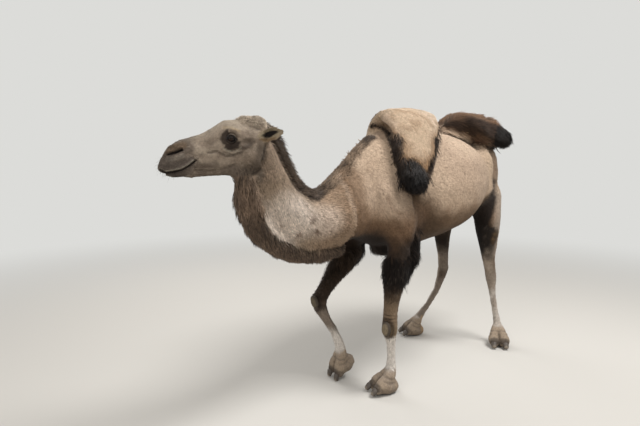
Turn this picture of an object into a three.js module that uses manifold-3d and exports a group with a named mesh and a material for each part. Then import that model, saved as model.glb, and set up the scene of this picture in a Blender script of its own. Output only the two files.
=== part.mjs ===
// A Bactrian camel, standing in mid stride, as one still life-size model in separate solids.
// Millimetres, +Z up. The camel faces -Y and its own left side is +X; the floor is z = 0.
// The flesh is modelled whole, as swept bodies and egg-shaped bulges joined together, and is then
// parted with thin cuts. Manes, fringes and tufts stand on the flesh as solids of their own.
import * as THREE from "three";
import { mergeVertices } from "three/addons/utils/BufferGeometryUtils.js";
import Module from "manifold-3d";

const wasm = await Module();
wasm.setup();

// ---- driving sizes ----
const gap = 0.6; // clearance between neighbouring solids
const sliver = 0.2; // bumps and strips flatter than this are smoothed out of the cut solids
const fringeInset = 24; // how far a hump's fringe stands in from the edge of its fold
const trunkSides = 16; // faces round the trunk
const neckSides = 12; // faces round the neck, head and humps
const limbSides = 8; // faces round a leg
const hairSides = 6; // faces round a mane or fringe
const bulgeSides = 8; // faces round a bulge
const toeSides = 6; // faces round a toe or a nail
const fetlockHeight = 150; // fetlock joint above the sole
const liftedFetlock = 203; // fetlock of the right fore foot, whose heel is off the floor
const eyeRadius = 21;
const foreLegTop = 935; // height of the cut between the trunk and a fore leg
const hindLegTop = 1040; // height of the cut between the trunk and a hind leg
const footTop = 20; // cut between leg and foot, above the fetlock joint
const flankY = 430; // cut between belly and hind legs
const chestY = -905; // cut between trunk and neck

const radians = (degrees) => degrees * THREE.MathUtils.DEG2RAD;

// ---- turning a three.js geometry into a solid and back ----
function solidOf(geometry) {
  const bare = new THREE.BufferGeometry();
  bare.setAttribute("position", geometry.getAttribute("position"));
  if (geometry.index) bare.setIndex(geometry.index);
  const merged = mergeVertices(bare, 1e-3);
  return new wasm.Manifold(
    new wasm.Mesh({
      numProp: 3,
      vertProperties: new Float32Array(merged.attributes.position.array),
      triVerts: new Uint32Array(merged.index.array),
    }),
  );
}

function geometryOf(solid) {
  const mesh = solid.getMesh();
  const geometry = new THREE.BufferGeometry();
  geometry.setAttribute("position", new THREE.BufferAttribute(mesh.vertProperties, 3));
  geometry.setIndex(new THREE.BufferAttribute(mesh.triVerts, 1));
  return geometry;
}

const union = (solids) => solids.reduce((all, one) => all.add(one));
const largest = (solid) => solid.decompose().sort((a, b) => b.volume() - a.volume())[0];

// A closed body swept through stations. A station has a centre, `at`, a half-width, `wide`, half-sizes
// towards the back or front of the body (`up`) and the other way (`down`), a turn of its side direction
// about Z (`yaw`, degrees), and `taper`, by which the section narrows upwards. The ends are domes.
// `grow` makes the body that much larger all round, for cutting its neighbours.
function sweep(stations, { sides = limbSides, steps = 2, dome = 0.5, frame = null } = {}, grow = 0) {
  const centres = new THREE.CatmullRomCurve3(
    stations.map((s) => new THREE.Vector3(...s.at)), false, "centripetal");
  const sizes = new THREE.CatmullRomCurve3(
    stations.map((s) => new THREE.Vector3(s.wide, s.up, s.down ?? s.up)), false, "catmullrom", 0.4);
  const turns = new THREE.CatmullRomCurve3(
    stations.map((s) => new THREE.Vector3(s.yaw ?? 0, s.taper ?? 0, 0)), false, "catmullrom", 0.4);
  const positions = [];
  const rings = steps * (stations.length - 1);
  // One ring at `t`, its radii times `shrink`, pushed along the sweep by `push` dome heights.
  const place = (t, shrink, push) => {
    const centre = centres.getPoint(t);
    const along = centres.getTangent(t);
    const size = sizes.getPoint(t).addScalar(grow);
    const { x: yaw, y: taper } = turns.getPoint(t);
    const side = new THREE.Vector3(Math.cos(radians(yaw)), Math.sin(radians(yaw)), 0);
    side.addScaledVector(along, -side.dot(along)).normalize();
    const up = new THREE.Vector3().crossVectors(along, side);
    const domeHeight = Math.min(size.x, (size.y + size.z) / 2) * dome + grow;
    centre.addScaledVector(along, push * domeHeight);
    if (shrink === 0) {
      positions.push(...centre);
      return;
    }
    for (let i = 0; i < sides; i++) {
      const angle = (2 * Math.PI * i) / sides;
      const height = Math.sin(angle);
      const across = Math.cos(angle) * size.x * (1 - taper * height);
      const rise = height * (height > 0 ? size.y : size.z);
      const point = centre.clone().addScaledVector(side, across * shrink).addScaledVector(up, rise * shrink);
      positions.push(...point);
    }
  };
  place(0, 0, -1);
  place(0, 0.75, -0.66);
  for (let i = 0; i <= rings; i++) place(i / rings, 1, 0);
  place(1, 0.75, 0.66);
  place(1, 0, 1);
  const ringCount = rings + 3;
  const faces = [];
  const vertex = (ring, i) => 1 + ring * sides + (i % sides);
  const last = 1 + ringCount * sides;
  for (let i = 0; i < sides; i++) {
    faces.push(0, vertex(0, i + 1), vertex(0, i));
    for (let r = 0; r < ringCount - 1; r++) {
      faces.push(vertex(r, i), vertex(r, i + 1), vertex(r + 1, i));
      faces.push(vertex(r, i + 1), vertex(r + 1, i + 1), vertex(r + 1, i));
    }
    faces.push(last, vertex(ringCount - 1, i), vertex(ringCount - 1, i + 1));
  }
  const geometry = new THREE.BufferGeometry();
  geometry.setAttribute("position", new THREE.Float32BufferAttribute(positions, 3));
  geometry.setIndex(faces);
  if (frame) geometry.applyMatrix4(frame);
  return solidOf(geometry);
}

// An egg-shaped muscle, bone or callus.
function bulge(at, radii, { turn = [0, 0, 0], sides = bulgeSides, frame = null } = {}, grow = 0) {
  const geometry = new THREE.SphereGeometry(1, sides, sides / 2);
  geometry.scale(...radii.map((r) => r + grow));
  const rotation = new THREE.Euler(...turn.map(radians));
  geometry.applyMatrix4(new THREE.Matrix4().makeRotationFromEuler(rotation).setPosition(...at));
  if (frame) geometry.applyMatrix4(frame);
  return solidOf(geometry);
}

// A cutting block between two corners, made larger all round by `grow`.
function block(low, high, frame = null, grow = 0) {
  const size = high.map((v, i) => v - low[i] + 2 * grow);
  const middle = high.map((v, i) => (v + low[i]) / 2);
  const geometry = new THREE.BoxGeometry(...size).translate(...middle);
  if (frame) geometry.applyMatrix4(frame);
  return solidOf(geometry);
}

// A frame of its own for a part modelled facing -Y about its own origin.
function frameAt(at, { yaw = 0, pitch = 0, roll = 0, scale = 1 } = {}) {
  const euler = new THREE.Euler(radians(pitch), radians(roll), radians(yaw), "ZXY");
  const turn = new THREE.Matrix4().makeRotationFromEuler(euler);
  return turn.scale(new THREE.Vector3(scale, scale, scale)).setPosition(...at);
}

// ---- trunk: stations run from the rump forwards, so `up` is the back and `down` the belly ----
function trunk(grow) {
  const barrel = [
    { at: [20, 895, 1405], wide: 80, up: 120, down: 110 },
    { at: [20, 790, 1420], wide: 165, up: 240, down: 220 },
    { at: [25, 620, 1430], wide: 235, up: 298, down: 260 },
    { at: [25, 380, 1410], wide: 350, up: 350, down: 330 },
    { at: [20, 80, 1400], wide: 440, up: 400, down: 400, taper: 0.1 },
    { at: [5, -250, 1390], wide: 395, up: 410, down: 430, taper: 0.2 },
    { at: [0, -480, 1380], wide: 300, up: 400, down: 430, taper: 0.3 },
    { at: [0, -680, 1350], wide: 230, up: 320, down: 370, taper: 0.35 },
    { at: [0, -850, 1310], wide: 150, up: 200, down: 240, taper: 0.3 },
  ];
  const muscles = [-1, 1].flatMap((side) => [
    bulge([side * 166 + 15, 662, 1498], [128, 170, 240], { sides: 10 }, grow), // haunch
    bulge([side * 196, -590, 1265], [92, 150, 225], { sides: 10 }, grow), // shoulder
  ]);
  return union([sweep(barrel, { sides: trunkSides }, grow), ...muscles]);
}

// The front hump is slack: it rises from the withers, folds over to the left and hangs on the ribs.
const flap = [
  { at: [-120, -215, 1690], wide: 285, up: 120, down: 120, yaw: 90 },
  { at: [-60, -225, 1825], wide: 280, up: 100, down: 120, yaw: 90 },
  { at: [60, -275, 1880], wide: 260, up: 75, down: 90, yaw: 86 },
  { at: [180, -350, 1825], wide: 215, up: 62, down: 80, yaw: 78 },
  { at: [252, -415, 1705], wide: 170, up: 55, down: 70, yaw: 70 },
  { at: [300, -485, 1575], wide: 132, up: 48, down: 55, yaw: 68 },
  { at: [324, -525, 1475], wide: 90, up: 38, down: 38, yaw: 68 },
];
const frontHump = (grow) => sweep(flap, { sides: hairSides * 2 }, grow);

// The rear hump leans over to the left and back.
const lean = [
  { at: [-60, 480, 1560], wide: 290, up: 150, down: 130, yaw: 90 },
  { at: [-20, 500, 1725], wide: 280, up: 120, down: 130, yaw: 90 },
  { at: [60, 550, 1835], wide: 235, up: 85, down: 110, yaw: 80 },
  { at: [160, 620, 1850], wide: 178, up: 70, down: 112, yaw: 70 },
  { at: [245, 688, 1806], wide: 112, up: 52, down: 78, yaw: 60 },
  { at: [290, 735, 1765], wide: 50, up: 28, down: 30, yaw: 60 },
];
const rearHump = (grow) => sweep(lean, { sides: hairSides * 2 }, grow);

// ---- neck, from the shoulders to the skull ----
function neck(grow) {
  const column = [
    { at: [0, -520, 1420], wide: 225, up: 290, down: 380, taper: 0.3 },
    { at: [0, -850, 1310], wide: 180, up: 205, down: 265, taper: 0.3 },
    { at: [15, -1160, 1220], wide: 145, up: 140, down: 175, taper: 0.15 },
    { at: [50, -1430, 1330], wide: 120, up: 120, down: 150, yaw: -5, taper: 0.1 },
    { at: [90, -1570, 1520], wide: 100, up: 95, down: 125, yaw: -15 },
    { at: [115, -1660, 1650], wide: 85, up: 80, down: 110, yaw: -25 },
    { at: [95, -1725, 1690], wide: 60, up: 60, down: 85, yaw: -33 },
  ];
  return sweep(column, { sides: neckSides }, grow);
}

// ---- head, modelled facing -Y about the root of the ears ----
const headFrame = frameAt([124, -1653, 1700], { yaw: -33, scale: 0.95 });

function head(grow) {
  const skull = [
    { at: [0, 30, -10], wide: 60, up: 66, down: 90 },
    { at: [0, -10, -25], wide: 80, up: 104, down: 120 },
    { at: [0, -50, -48], wide: 90, up: 138, down: 147, taper: -0.1 },
    { at: [0, -100, -54], wide: 96, up: 146, down: 150, taper: -0.15 },
    { at: [0, -145, -56], wide: 94, up: 147, down: 155, taper: -0.2 },
    { at: [0, -205, -72], wide: 74, up: 128, down: 146, taper: -0.18 },
    { at: [0, -270, -90], wide: 62, up: 112, down: 131, taper: -0.08 },
    { at: [0, -340, -102], wide: 58, up: 103, down: 122 },
    { at: [0, -400, -118], wide: 60, up: 98, down: 111 },
    { at: [0, -446, -131], wide: 55, up: 80, down: 95 },
    { at: [0, -488, -156], wide: 45, up: 48, down: 52 },
  ];
  const pieces = [sweep(skull, { sides: neckSides, steps: 1, frame: headFrame }, grow)];
  for (const side of [-1, 1]) {
    pieces.push(bulge([side * 70, -130, 12], [38, 58, 40], { frame: headFrame }, grow)); // brow
    pieces.push(bulge([side * 60, -60, -95], [38, 80, 86], { frame: headFrame }, grow)); // cheek
  }
  return union(pieces);
}

function ear(side, grow) {
  const shell = [
    { at: [side * 62, 12, -6], wide: 16, up: 24 },
    { at: [side * 82, 44, 6], wide: 20, up: 43 },
    { at: [side * 100, 88, 15], wide: 17, up: 38 },
    { at: [side * 113, 124, 20], wide: 7, up: 15 },
  ];
  return sweep(shell, { sides: hairSides, frame: headFrame }, grow);
}

const eye = (side, grow) =>
  bulge([side * 86, -146, -15], [eyeRadius, eyeRadius, eyeRadius], { frame: headFrame }, grow);

// ---- legs: stations run downwards, so `up` is the front of the leg and `down` its back ----
const foreLeft = [
  { at: [190, -480, 1400], wide: 105, up: 130, down: 130 },
  { at: [228, -520, 1180], wide: 115, up: 150, down: 140 },
  { at: [238, -562, 1000], wide: 88, up: 105, down: 95 },
  { at: [230, -608, 780], wide: 68, up: 70, down: 73 },
  { at: [228, -636, 600], wide: 50, up: 51, down: 54 },
  { at: [228, -643, 500], wide: 55, up: 53, down: 51 },
  { at: [226, -638, 435], wide: 54, up: 54, down: 49 },
  { at: [221, -618, 350], wide: 37, up: 33, down: 36 },
  { at: [214, -604, 260], wide: 31, up: 29, down: 33 },
  { at: [208, -596, 170], wide: 40, up: 36, down: 40 },
  { at: [200, -605, 110], wide: 44, up: 40, down: 42 },
];
const foreRight = [
  { at: [-190, -460, 1400], wide: 105, up: 130, down: 130 },
  { at: [-215, -480, 1180], wide: 112, up: 140, down: 140 },
  { at: [-215, -520, 1000], wide: 86, up: 98, down: 100 },
  { at: [-218, -645, 830], wide: 67, up: 75, down: 73 },
  { at: [-233, -770, 690], wide: 53, up: 57, down: 54 },
  { at: [-243, -840, 610], wide: 57, up: 62, down: 48 },
  { at: [-238, -838, 550], wide: 52, up: 52, down: 45 },
  { at: [-220, -788, 450], wide: 36, up: 33, down: 34 },
  { at: [-202, -728, 350], wide: 32, up: 30, down: 34 },
  { at: [-192, -678, 245], wide: 41, up: 40, down: 38 },
  { at: [-196, -668, 170], wide: 44, up: 40, down: 38 },
];
const hindLeft = [
  { at: [160, 620, 1470], wide: 115, up: 180, down: 170 },
  { at: [232, 622, 1290], wide: 130, up: 190, down: 175 },
  { at: [274, 602, 1080], wide: 106, up: 130, down: 126 },
  { at: [274, 626, 900], wide: 76, up: 86, down: 84 },
  { at: [248, 700, 740], wide: 50, up: 54, down: 60 },
  { at: [232, 770, 620], wide: 44, up: 48, down: 58 },
  { at: [236, 786, 540], wide: 42, up: 42, down: 45 },
  { at: [256, 782, 420], wide: 29, up: 29, down: 33 },
  { at: [284, 782, 280], wide: 28, up: 28, down: 31 },
  { at: [308, 785, 170], wide: 37, up: 34, down: 38 },
  { at: [316, 785, 110], wide: 42, up: 38, down: 40 },
];
const hindRight = [
  { at: [-80, 640, 1470], wide: 115, up: 180, down: 180 },
  { at: [-130, 630, 1290], wide: 128, up: 190, down: 180 },
  { at: [-150, 605, 1080], wide: 98, up: 128, down: 130 },
  { at: [-152, 615, 900], wide: 66, up: 78, down: 80 },
  { at: [-170, 662, 740], wide: 46, up: 50, down: 58 },
  { at: [-188, 700, 600], wide: 44, up: 46, down: 58 },
  { at: [-200, 692, 520], wide: 40, up: 40, down: 44 },
  { at: [-220, 648, 400], wide: 30, up: 29, down: 33 },
  { at: [-260, 574, 270], wide: 28, up: 28, down: 31 },
  { at: [-306, 508, 170], wide: 37, up: 34, down: 38 },
  { at: [-322, 484, 110], wide: 42, up: 38, down: 40 },
];

// ---- feet, modelled facing -Y about the fetlock joint ----
const feet = [
  {
    name: "fore_left",
    legTop: foreLegTop,
    leg: foreLeft,
    frame: frameAt([206, -595, fetlockHeight], { yaw: -26 }),
  },
  {
    name: "fore_right",
    legTop: foreLegTop,
    leg: foreRight,
    frame: frameAt([-195, -670, liftedFetlock], { pitch: 32, yaw: -16 }),
  },
  {
    name: "hind_left",
    legTop: hindLegTop,
    leg: hindLeft,
    frame: frameAt([310, 785, fetlockHeight], { yaw: 35 }),
  },
  {
    name: "hind_right",
    legTop: hindLegTop,
    leg: hindRight,
    frame: frameAt([-312, 498, fetlockHeight], { yaw: -30 }),
  },
];

function foot(frame, grow) {
  const pad = bulge([0, -38, 45 - fetlockHeight], [86, 98, 56], { frame }, grow);
  const toes = [-1, 1].map((side) => sweep([
    { at: [side * 16, 0, -8], wide: 36, up: 38 },
    { at: [side * 42, -88, -90], wide: 52, up: 45 },
    { at: [side * 46, -130, -114], wide: 38, up: 30 },
  ], { sides: toeSides, steps: 1, frame }, grow));
  return union([pad, ...toes]);
}

const nail = (side, frame, grow) => sweep([
  { at: [side * 46, -134, -108], wide: 28, up: 26, down: 18 },
  { at: [side * 48, -160, -130], wide: 21, up: 15 },
], { sides: toeSides, steps: 1, dome: 0.4, frame }, grow);

// Leathery callus on the front of a knee, and the one under the chest.
const kneePads = [
  { side: "left", at: [230, -685, 465], turn: [0, 0, 0] },
  { side: "right", at: [-247, -880, 590], turn: [20, 0, 0] },
];
const kneePad = ({ at, turn }, grow) => bulge(at, [36, 24, 58], { turn, sides: 10 }, grow);
const chestPad = (grow) => bulge([0, -430, 962], [85, 120, 42], { sides: 10 }, grow);

// ---- tail ----
function tail(grow) {
  return sweep([
    { at: [50, 860, 1480], wide: 45, up: 40 },
    { at: [55, 955, 1400], wide: 30, up: 26 },
    { at: [60, 990, 1260], wide: 22, up: 20 },
    { at: [60, 985, 1080], wide: 16, up: 15 },
  ], { sides: hairSides }, grow);
}

// ---- manes, fringes and tufts, out to the tips of the hair ----
const along = (name, stations, options = {}) => ({
  name,
  make: (grow) => sweep(stations, { sides: hairSides, ...options }, grow),
});
// Stations along one edge of a hump's fold: `end` is 1 for the rear edge and -1 for the front one.
const edgeOf = (stations, end) => stations.slice(2).map(({ at, wide, up, down, yaw }) => {
  const centre = [
    at[0] + end * (wide - fringeInset) * Math.cos(radians(yaw)),
    at[1] + end * (wide - fringeInset) * Math.sin(radians(yaw)),
    at[2] - 10,
  ];
  return { at: centre, wide: 34, up: up * 0.5 + 12, down: down * 0.5 + 12, yaw };
});
const hair = [
  along("throat_mane", [
    { at: [0, -900, 1045], wide: 70, up: 60, down: 80 },
    { at: [0, -1060, 1040], wide: 95, up: 60, down: 95 },
    { at: [5, -1230, 1050], wide: 100, up: 60, down: 95 },
    { at: [25, -1400, 1110], wide: 95, up: 60, down: 106 },
    { at: [60, -1575, 1230], wide: 85, up: 60, down: 116, yaw: -10 },
    { at: [90, -1680, 1385], wide: 80, up: 60, down: 103, yaw: -20 },
    { at: [110, -1745, 1530], wide: 60, up: 50, down: 65, yaw: -30 },
  ]),
  along("nape_mane", [
    { at: [0, -580, 1722], wide: 55, up: 60 },
    { at: [0, -730, 1600], wide: 62, up: 70 },
    { at: [0, -860, 1510], wide: 64, up: 66 },
    { at: [5, -1010, 1418], wide: 60, up: 58 },
    { at: [15, -1150, 1350], wide: 56, up: 56 },
    { at: [40, -1300, 1398], wide: 56, up: 60, yaw: -5 },
    { at: [75, -1425, 1518], wide: 56, up: 62, yaw: -12 },
    { at: [103, -1520, 1650], wide: 54, up: 58, yaw: -20 },
    { at: [118, -1595, 1745], wide: 46, up: 44, yaw: -28 },
  ], { steps: 1 }),
  along("crown_tuft", [
    { at: [0, 25, 55], wide: 44, up: 26 },
    { at: [0, -30, 76], wide: 54, up: 28 },
    { at: [0, -95, 84], wide: 44, up: 20 },
  ], { frame: headFrame }),
  along("hump_front_tip", [
    { at: [332, -532, 1495], wide: 102, up: 52, down: 45, yaw: 68 },
    { at: [345, -545, 1410], wide: 68, up: 40, down: 40, yaw: 68 },
  ], { steps: 1 }),
  along("hump_front_fringe_fore", edgeOf(flap, -1), { steps: 1 }),
  along("hump_front_fringe_rear", edgeOf(flap, 1), { steps: 1 }),
  along("hump_rear_tip", [
    { at: [250, 690, 1800], wide: 110, up: 68, down: 68, yaw: 60 },
    { at: [300, 748, 1765], wide: 80, up: 56, down: 52, yaw: 60 },
    { at: [330, 785, 1732], wide: 46, up: 28, down: 32, yaw: 60 },
  ], { steps: 1 }),
  along("hump_rear_crest", [
    { at: [-20, 310, 1830], wide: 60, up: 45 },
    { at: [10, 420, 1905], wide: 90, up: 50 },
    { at: [60, 540, 1920], wide: 105, up: 52 },
    { at: [135, 665, 1898], wide: 100, up: 58 },
  ]),
  along("elbow_hair_left", [
    { at: [262, -492, 1090], wide: 62, up: 78 },
    { at: [266, -505, 945], wide: 66, up: 78 },
    { at: [250, -562, 805], wide: 50, up: 56 },
  ]),
  along("elbow_hair_right", [
    { at: [-240, -400, 1060], wide: 50, up: 65 },
    { at: [-235, -450, 930], wide: 55, up: 65 },
    { at: [-228, -570, 820], wide: 42, up: 48 },
  ]),
  along("tail_tuft", [
    { at: [60, 990, 1190], wide: 34, up: 32 },
    { at: [60, 985, 1050], wide: 40, up: 38 },
    { at: [60, 975, 910], wide: 22, up: 20 },
  ]),
];

// ---- the whole flesh, joined, and standing flat on the floor ----
const floorUp = block([-1000, -3000, 0], [1000, 2000, 3000]);

function flesh(grow) {
  const legs = feet.flatMap(({ leg, frame }) => [sweep(leg, { steps: 1 }, grow), foot(frame, grow)]);
  return union([trunk(grow), neck(grow), head(grow), tail(grow), ...legs]);
}

const camel = new THREE.Group();
camel.name = "camel";
const finishes = {
  coat: { color: "#b0926f", roughness: 0.9 },
  headCoat: { color: "#8f7f6a", roughness: 0.9 },
  paleCoat: { color: "#c9a982", roughness: 0.9 },
  cannonCoat: { color: "#cfc5b8", roughness: 0.9 },
  footSkin: { color: "#a39482", roughness: 0.85 },
  darkHair: { color: "#4b3f36", roughness: 0.95 },
  callus: { color: "#7d7058", roughness: 0.7 },
  nail: { color: "#4d453f", roughness: 0.5 },
  eye: { color: "#1d1612", roughness: 0.1 },
};

function addPart(name, solid, finish) {
  const clean = largest(solid).asOriginal().simplify(sliver);
  const mesh = new THREE.Mesh(geometryOf(clean), new THREE.MeshStandardMaterial(finishes[finish]));
  mesh.name = name;
  camel.add(mesh);
}

// Small parts first: each is a solid of its own, and the flesh is cut back from it.
const smallParts = [];
for (const [side, sign] of [["left", 1], ["right", -1]]) {
  smallParts.push({ name: `eye_${side}`, finish: "eye", make: (grow) => eye(sign, grow) });
}
for (const { name, frame } of feet) {
  const outward = name.endsWith("left") ? 1 : -1;
  for (const [side, sign] of [["outer", outward], ["inner", -outward]]) {
    const make = (grow) => nail(sign, frame, grow);
    smallParts.push({ name: `nail_${name}_${side}`, finish: "nail", make });
  }
}
for (const pad of kneePads) {
  smallParts.push({ name: `knee_pad_${pad.side}`, finish: "callus", make: (grow) => kneePad(pad, grow) });
}
smallParts.push({ name: "chest_pad", finish: "callus", make: chestPad });
let body = flesh(0).intersect(floorUp);
for (const { name, finish, make } of smallParts) {
  addPart(name, make(0).intersect(floorUp), finish);
  body = body.subtract(make(gap));
}

// Parting cuts: each piece is what lies inside a block, and the rest is cut back from that block.
function part(name, finish, low, high, frame = null) {
  addPart(name, body.intersect(block(low, high, frame)), finish);
  body = body.subtract(block(low, high, frame, gap));
}
for (const { name, legTop, frame } of feet) {
  part(`foot_${name}`, "footSkin", [-160, -260, -260], [160, 140, footTop], frame);
  const [lowX, highX] = name.endsWith("left") ? [gap, 700] : [-700, -gap];
  const [lowY, highY] = name.startsWith("fore") ? [-1100, 0] : [flankY, 1200];
  part(`leg_${name}`, "cannonCoat", [lowX, lowY, -10], [highX, highY, legTop]);
}
part("head", "headCoat", [-300, -700, -400], [300, 20, 300], headFrame);
part("neck", "coat", [-500, -2500, 500], [500, chestY, 2500]);
part("tail", "coat", [-100, 905, 500], [200, 1300, 2000]);
addPart("trunk", body, "coat");

// Everything that stands on the flesh is cut back from it, and from what was placed before.
const standing = [
  { name: "hump_front", finish: "paleCoat", make: frontHump },
  { name: "hump_rear", finish: "paleCoat", make: rearHump },
  { name: "ear_left", finish: "headCoat", make: (grow) => ear(1, grow) },
  { name: "ear_right", finish: "headCoat", make: (grow) => ear(-1, grow) },
  ...hair.map((one) => ({ ...one, finish: "darkHair" })),
];
let taken = union([flesh(gap), ...smallParts.map(({ make }) => make(gap))]);
for (const { name, finish, make } of standing) {
  addPart(name, make(0).subtract(taken), finish);
  taken = taken.add(make(gap));
}

// The origin is on the floor, under the middle of the whole model.
const middle = new THREE.Box3().setFromObject(camel).getCenter(new THREE.Vector3());
camel.position.set(-middle.x, -middle.y, 0);
export default camel;
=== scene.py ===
# A Bactrian camel in mid stride: one skin over all its flesh, a coat of solid tufts and locks on it,
# and its eyes, nails and callus pads as pieces of their own. Metres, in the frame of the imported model.
import math
import bpy
import numpy as np
from mathutils import Matrix, Vector
from mathutils.bvhtree import BVHTree
from mathutils.kdtree import KDTree


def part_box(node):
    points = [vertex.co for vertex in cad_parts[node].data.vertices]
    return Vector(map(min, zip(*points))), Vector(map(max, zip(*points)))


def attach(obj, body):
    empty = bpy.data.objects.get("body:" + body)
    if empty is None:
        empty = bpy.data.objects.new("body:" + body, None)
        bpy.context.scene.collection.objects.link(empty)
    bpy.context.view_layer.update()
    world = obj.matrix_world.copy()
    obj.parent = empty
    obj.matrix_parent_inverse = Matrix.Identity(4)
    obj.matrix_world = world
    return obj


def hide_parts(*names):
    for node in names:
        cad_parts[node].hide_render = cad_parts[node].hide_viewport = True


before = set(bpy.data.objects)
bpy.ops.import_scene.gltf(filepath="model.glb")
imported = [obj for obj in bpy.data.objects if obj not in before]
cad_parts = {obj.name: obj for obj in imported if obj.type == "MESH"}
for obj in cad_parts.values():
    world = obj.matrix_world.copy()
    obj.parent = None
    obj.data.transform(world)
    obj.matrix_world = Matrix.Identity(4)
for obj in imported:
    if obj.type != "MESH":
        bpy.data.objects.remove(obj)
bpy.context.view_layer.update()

chance = np.random.default_rng(11)  # seeded, so that each run grows the same coat
scene = bpy.context.scene
scene.view_settings.view_transform = "Standard"

# The camel is laid out in millimetres about a point of its own; the eye shows where the frame has it.
lowEye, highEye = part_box("eye_left")
shift = np.array((lowEye + highEye) / 2 - Vector((0.1170, -1.8138, 1.6858)))
shift[2] = 0.0


def place(spots):  # millimetres of the layout, to metres of the frame
    return np.asarray(spots, float) / 1000 + shift


def layout(points):  # and back
    return (points - shift) * 1000


def turnAbout(axis, degrees):
    return np.array(Matrix.Rotation(math.radians(degrees), 3, axis))


# The camera stands before the left shoulder, at eye height, and looks slightly down.
camera = {"at": (2192.6, -3269.4, 1580), "lens": 28.125, "pitch": -6.05, "azimuth": 45}
bpy.ops.object.camera_add(
    location=place(camera["at"]),
    rotation=(math.radians(90 + camera["pitch"]), 0, math.radians(camera["azimuth"])))
eyePoint = bpy.context.object
eyePoint.name = "camera"
eyePoint.data.lens = camera["lens"]
eyePoint.data.sensor_width = 36
eyePoint.data.clip_end = 200
scene.camera = eyePoint
print("camera placed")


def linear(colour):  # an sRGB hex, such as "#aabbcc", to linear red, green, blue
    levels = np.array([int(colour[i : i + 2], 16) for i in (1, 3, 5)]) / 255
    return np.where(levels <= 0.04045, levels / 12.92, ((levels + 0.055) / 1.055) ** 2.4)


def rgba(colour):
    return (*linear(colour), 1)


def pick(*pieces):  # selects these and nothing else
    bpy.ops.object.select_all(action="DESELECT")
    for piece in pieces:
        piece.select_set(True)
    bpy.context.view_layer.objects.active = pieces[0]


def startEdit(*pieces):
    pick(*pieces)
    bpy.ops.object.mode_set(mode="EDIT")
    bpy.ops.mesh.select_all(action="SELECT")


def endEdit():
    bpy.ops.object.mode_set(mode="OBJECT")


def addNode(tree, kind, links=None, **settings):
    # links says what each socket is fed by; inputs holds values of sockets, and the rest are the node's own.
    node = tree.nodes.new(kind)
    for name, value in settings.pop("inputs", {}).items():
        node.inputs[name].default_value = value
    for name, value in settings.items():
        setattr(node, name, value)
    for name, source in (links or {}).items():
        tree.links.new(source, node.inputs[name])
    return node


def newMaterial(name, **shader):
    material = bpy.data.materials.new(name)
    material.use_nodes = True
    tree = material.node_tree
    surface = tree.nodes["Principled BSDF"]
    for socket, value in shader.items():
        surface.inputs[socket.replace("_", " ")].default_value = value
    return material, tree, surface


def smooth(value, low, high):  # 0 at low, 1 at high
    t = np.clip((value - low) / (high - low), 0, 1)
    return t * t * (3 - 2 * t)


def ball(spots, centre, radii):  # 1 in the middle of an egg shape, 0 outside it
    r = np.linalg.norm((spots - np.array(centre)) / np.array(radii), axis=1)
    return smooth(r, 1.0, 0.35)


def lineDistance(spots, path):  # least distance to a bent line
    path = np.asarray(path, float)
    best = np.full(len(spots), 1e9)
    for a, b in zip(path[:-1], path[1:]):
        ab = b - a
        t = np.clip(((spots - a) @ ab) / (ab @ ab), 0, 1)
        best = np.minimum(best, np.linalg.norm(spots - a - t[:, None] * ab, axis=1))
    return best


def nearLine(spots, path, wide, core):  # 1 along the core of a bent line, 0 beyond its width
    return smooth(lineDistance(spots, path), wide, core)


def bell(value, wide):  # 1 at 0, fading on both sides
    return np.exp(-((value / wide) ** 2))


def moved(path, along, up):  # a path in the side view, shifted
    return [(a + along, b + up) for a, b in path]


def area(flat, outline, soft):  # 1 within a closed outline, fading to 0 over "soft" beyond it
    outline = np.asarray(outline, float)
    closed = np.concatenate([outline, outline[:1]])
    inside = np.zeros(len(flat), bool)
    for (y0, z0), (y1, z1) in zip(closed[:-1], closed[1:]):
        if z0 != z1:
            crosses = ((z0 > flat[:, 1]) != (z1 > flat[:, 1]))
            inside ^= crosses & (flat[:, 0] < (y1 - y0) * (flat[:, 1] - z0) / (z1 - z0) + y0)
    return np.where(inside, 1.0, nearLine(flat, closed, soft, 0))


def within(flat, outline, soft):  # 1 inside, 0 outside, 0.5 on the outline itself
    far = lineDistance(flat, [*outline, outline[0]])
    return smooth(np.where(area(flat, outline, 0.01) > 0.5, far, -far), -soft, soft)


def blotches(spots, size, seed=0, octaves=3):  # smooth noise, about -1 to 1; size is its largest patch
    total = np.zeros(len(spots))
    for octave in range(octaves):
        p = spots / size * 2**octave + 13.7 * seed + 5.1 * octave
        cell = np.floor(p).astype(np.int64)
        f = p - cell
        f = f * f * (3 - 2 * f)
        for corner in range(8):
            step = np.array([corner & 1, corner >> 1 & 1, corner >> 2 & 1])
            c = cell + step
            h = (c[:, 0] * 73856093) ^ (c[:, 1] * 19349663) ^ (c[:, 2] * 83492791)
            h = (h ^ (h >> 13)) * 1274126177 & 0x7FFFFFFF
            weight = np.where(step, f, 1 - f).prod(1)
            total += weight * ((h >> 8 & 0xFFFF) / 32767.5 - 1) * 0.6**octave
    return total


def unit(vectors):
    return vectors / np.maximum(np.linalg.norm(vectors, axis=-1, keepdims=True), 1e-9)


def readAll(items, key, width=3, kind=float):  # one property of all the points, edges or loops of a mesh
    flat = np.empty(len(items) * width, kind)
    items.foreach_get(key, flat)
    return flat.reshape(-1, width)


def vertexArray(mesh):
    return readAll(mesh.vertices, "co")


def normalArray(mesh):
    return readAll(mesh.vertices, "normal")


def setVertices(mesh, points):
    mesh.vertices.foreach_set("co", points.ravel())
    mesh.update()


def paint(mesh, colours):  # one colour for each vertex, read by the materials as "markings"
    layer = mesh.color_attributes.new("markings", "FLOAT_COLOR", "POINT")
    layer.data.foreach_set("color", np.c_[colours, np.ones(len(colours))].ravel().astype(np.float32))


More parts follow.
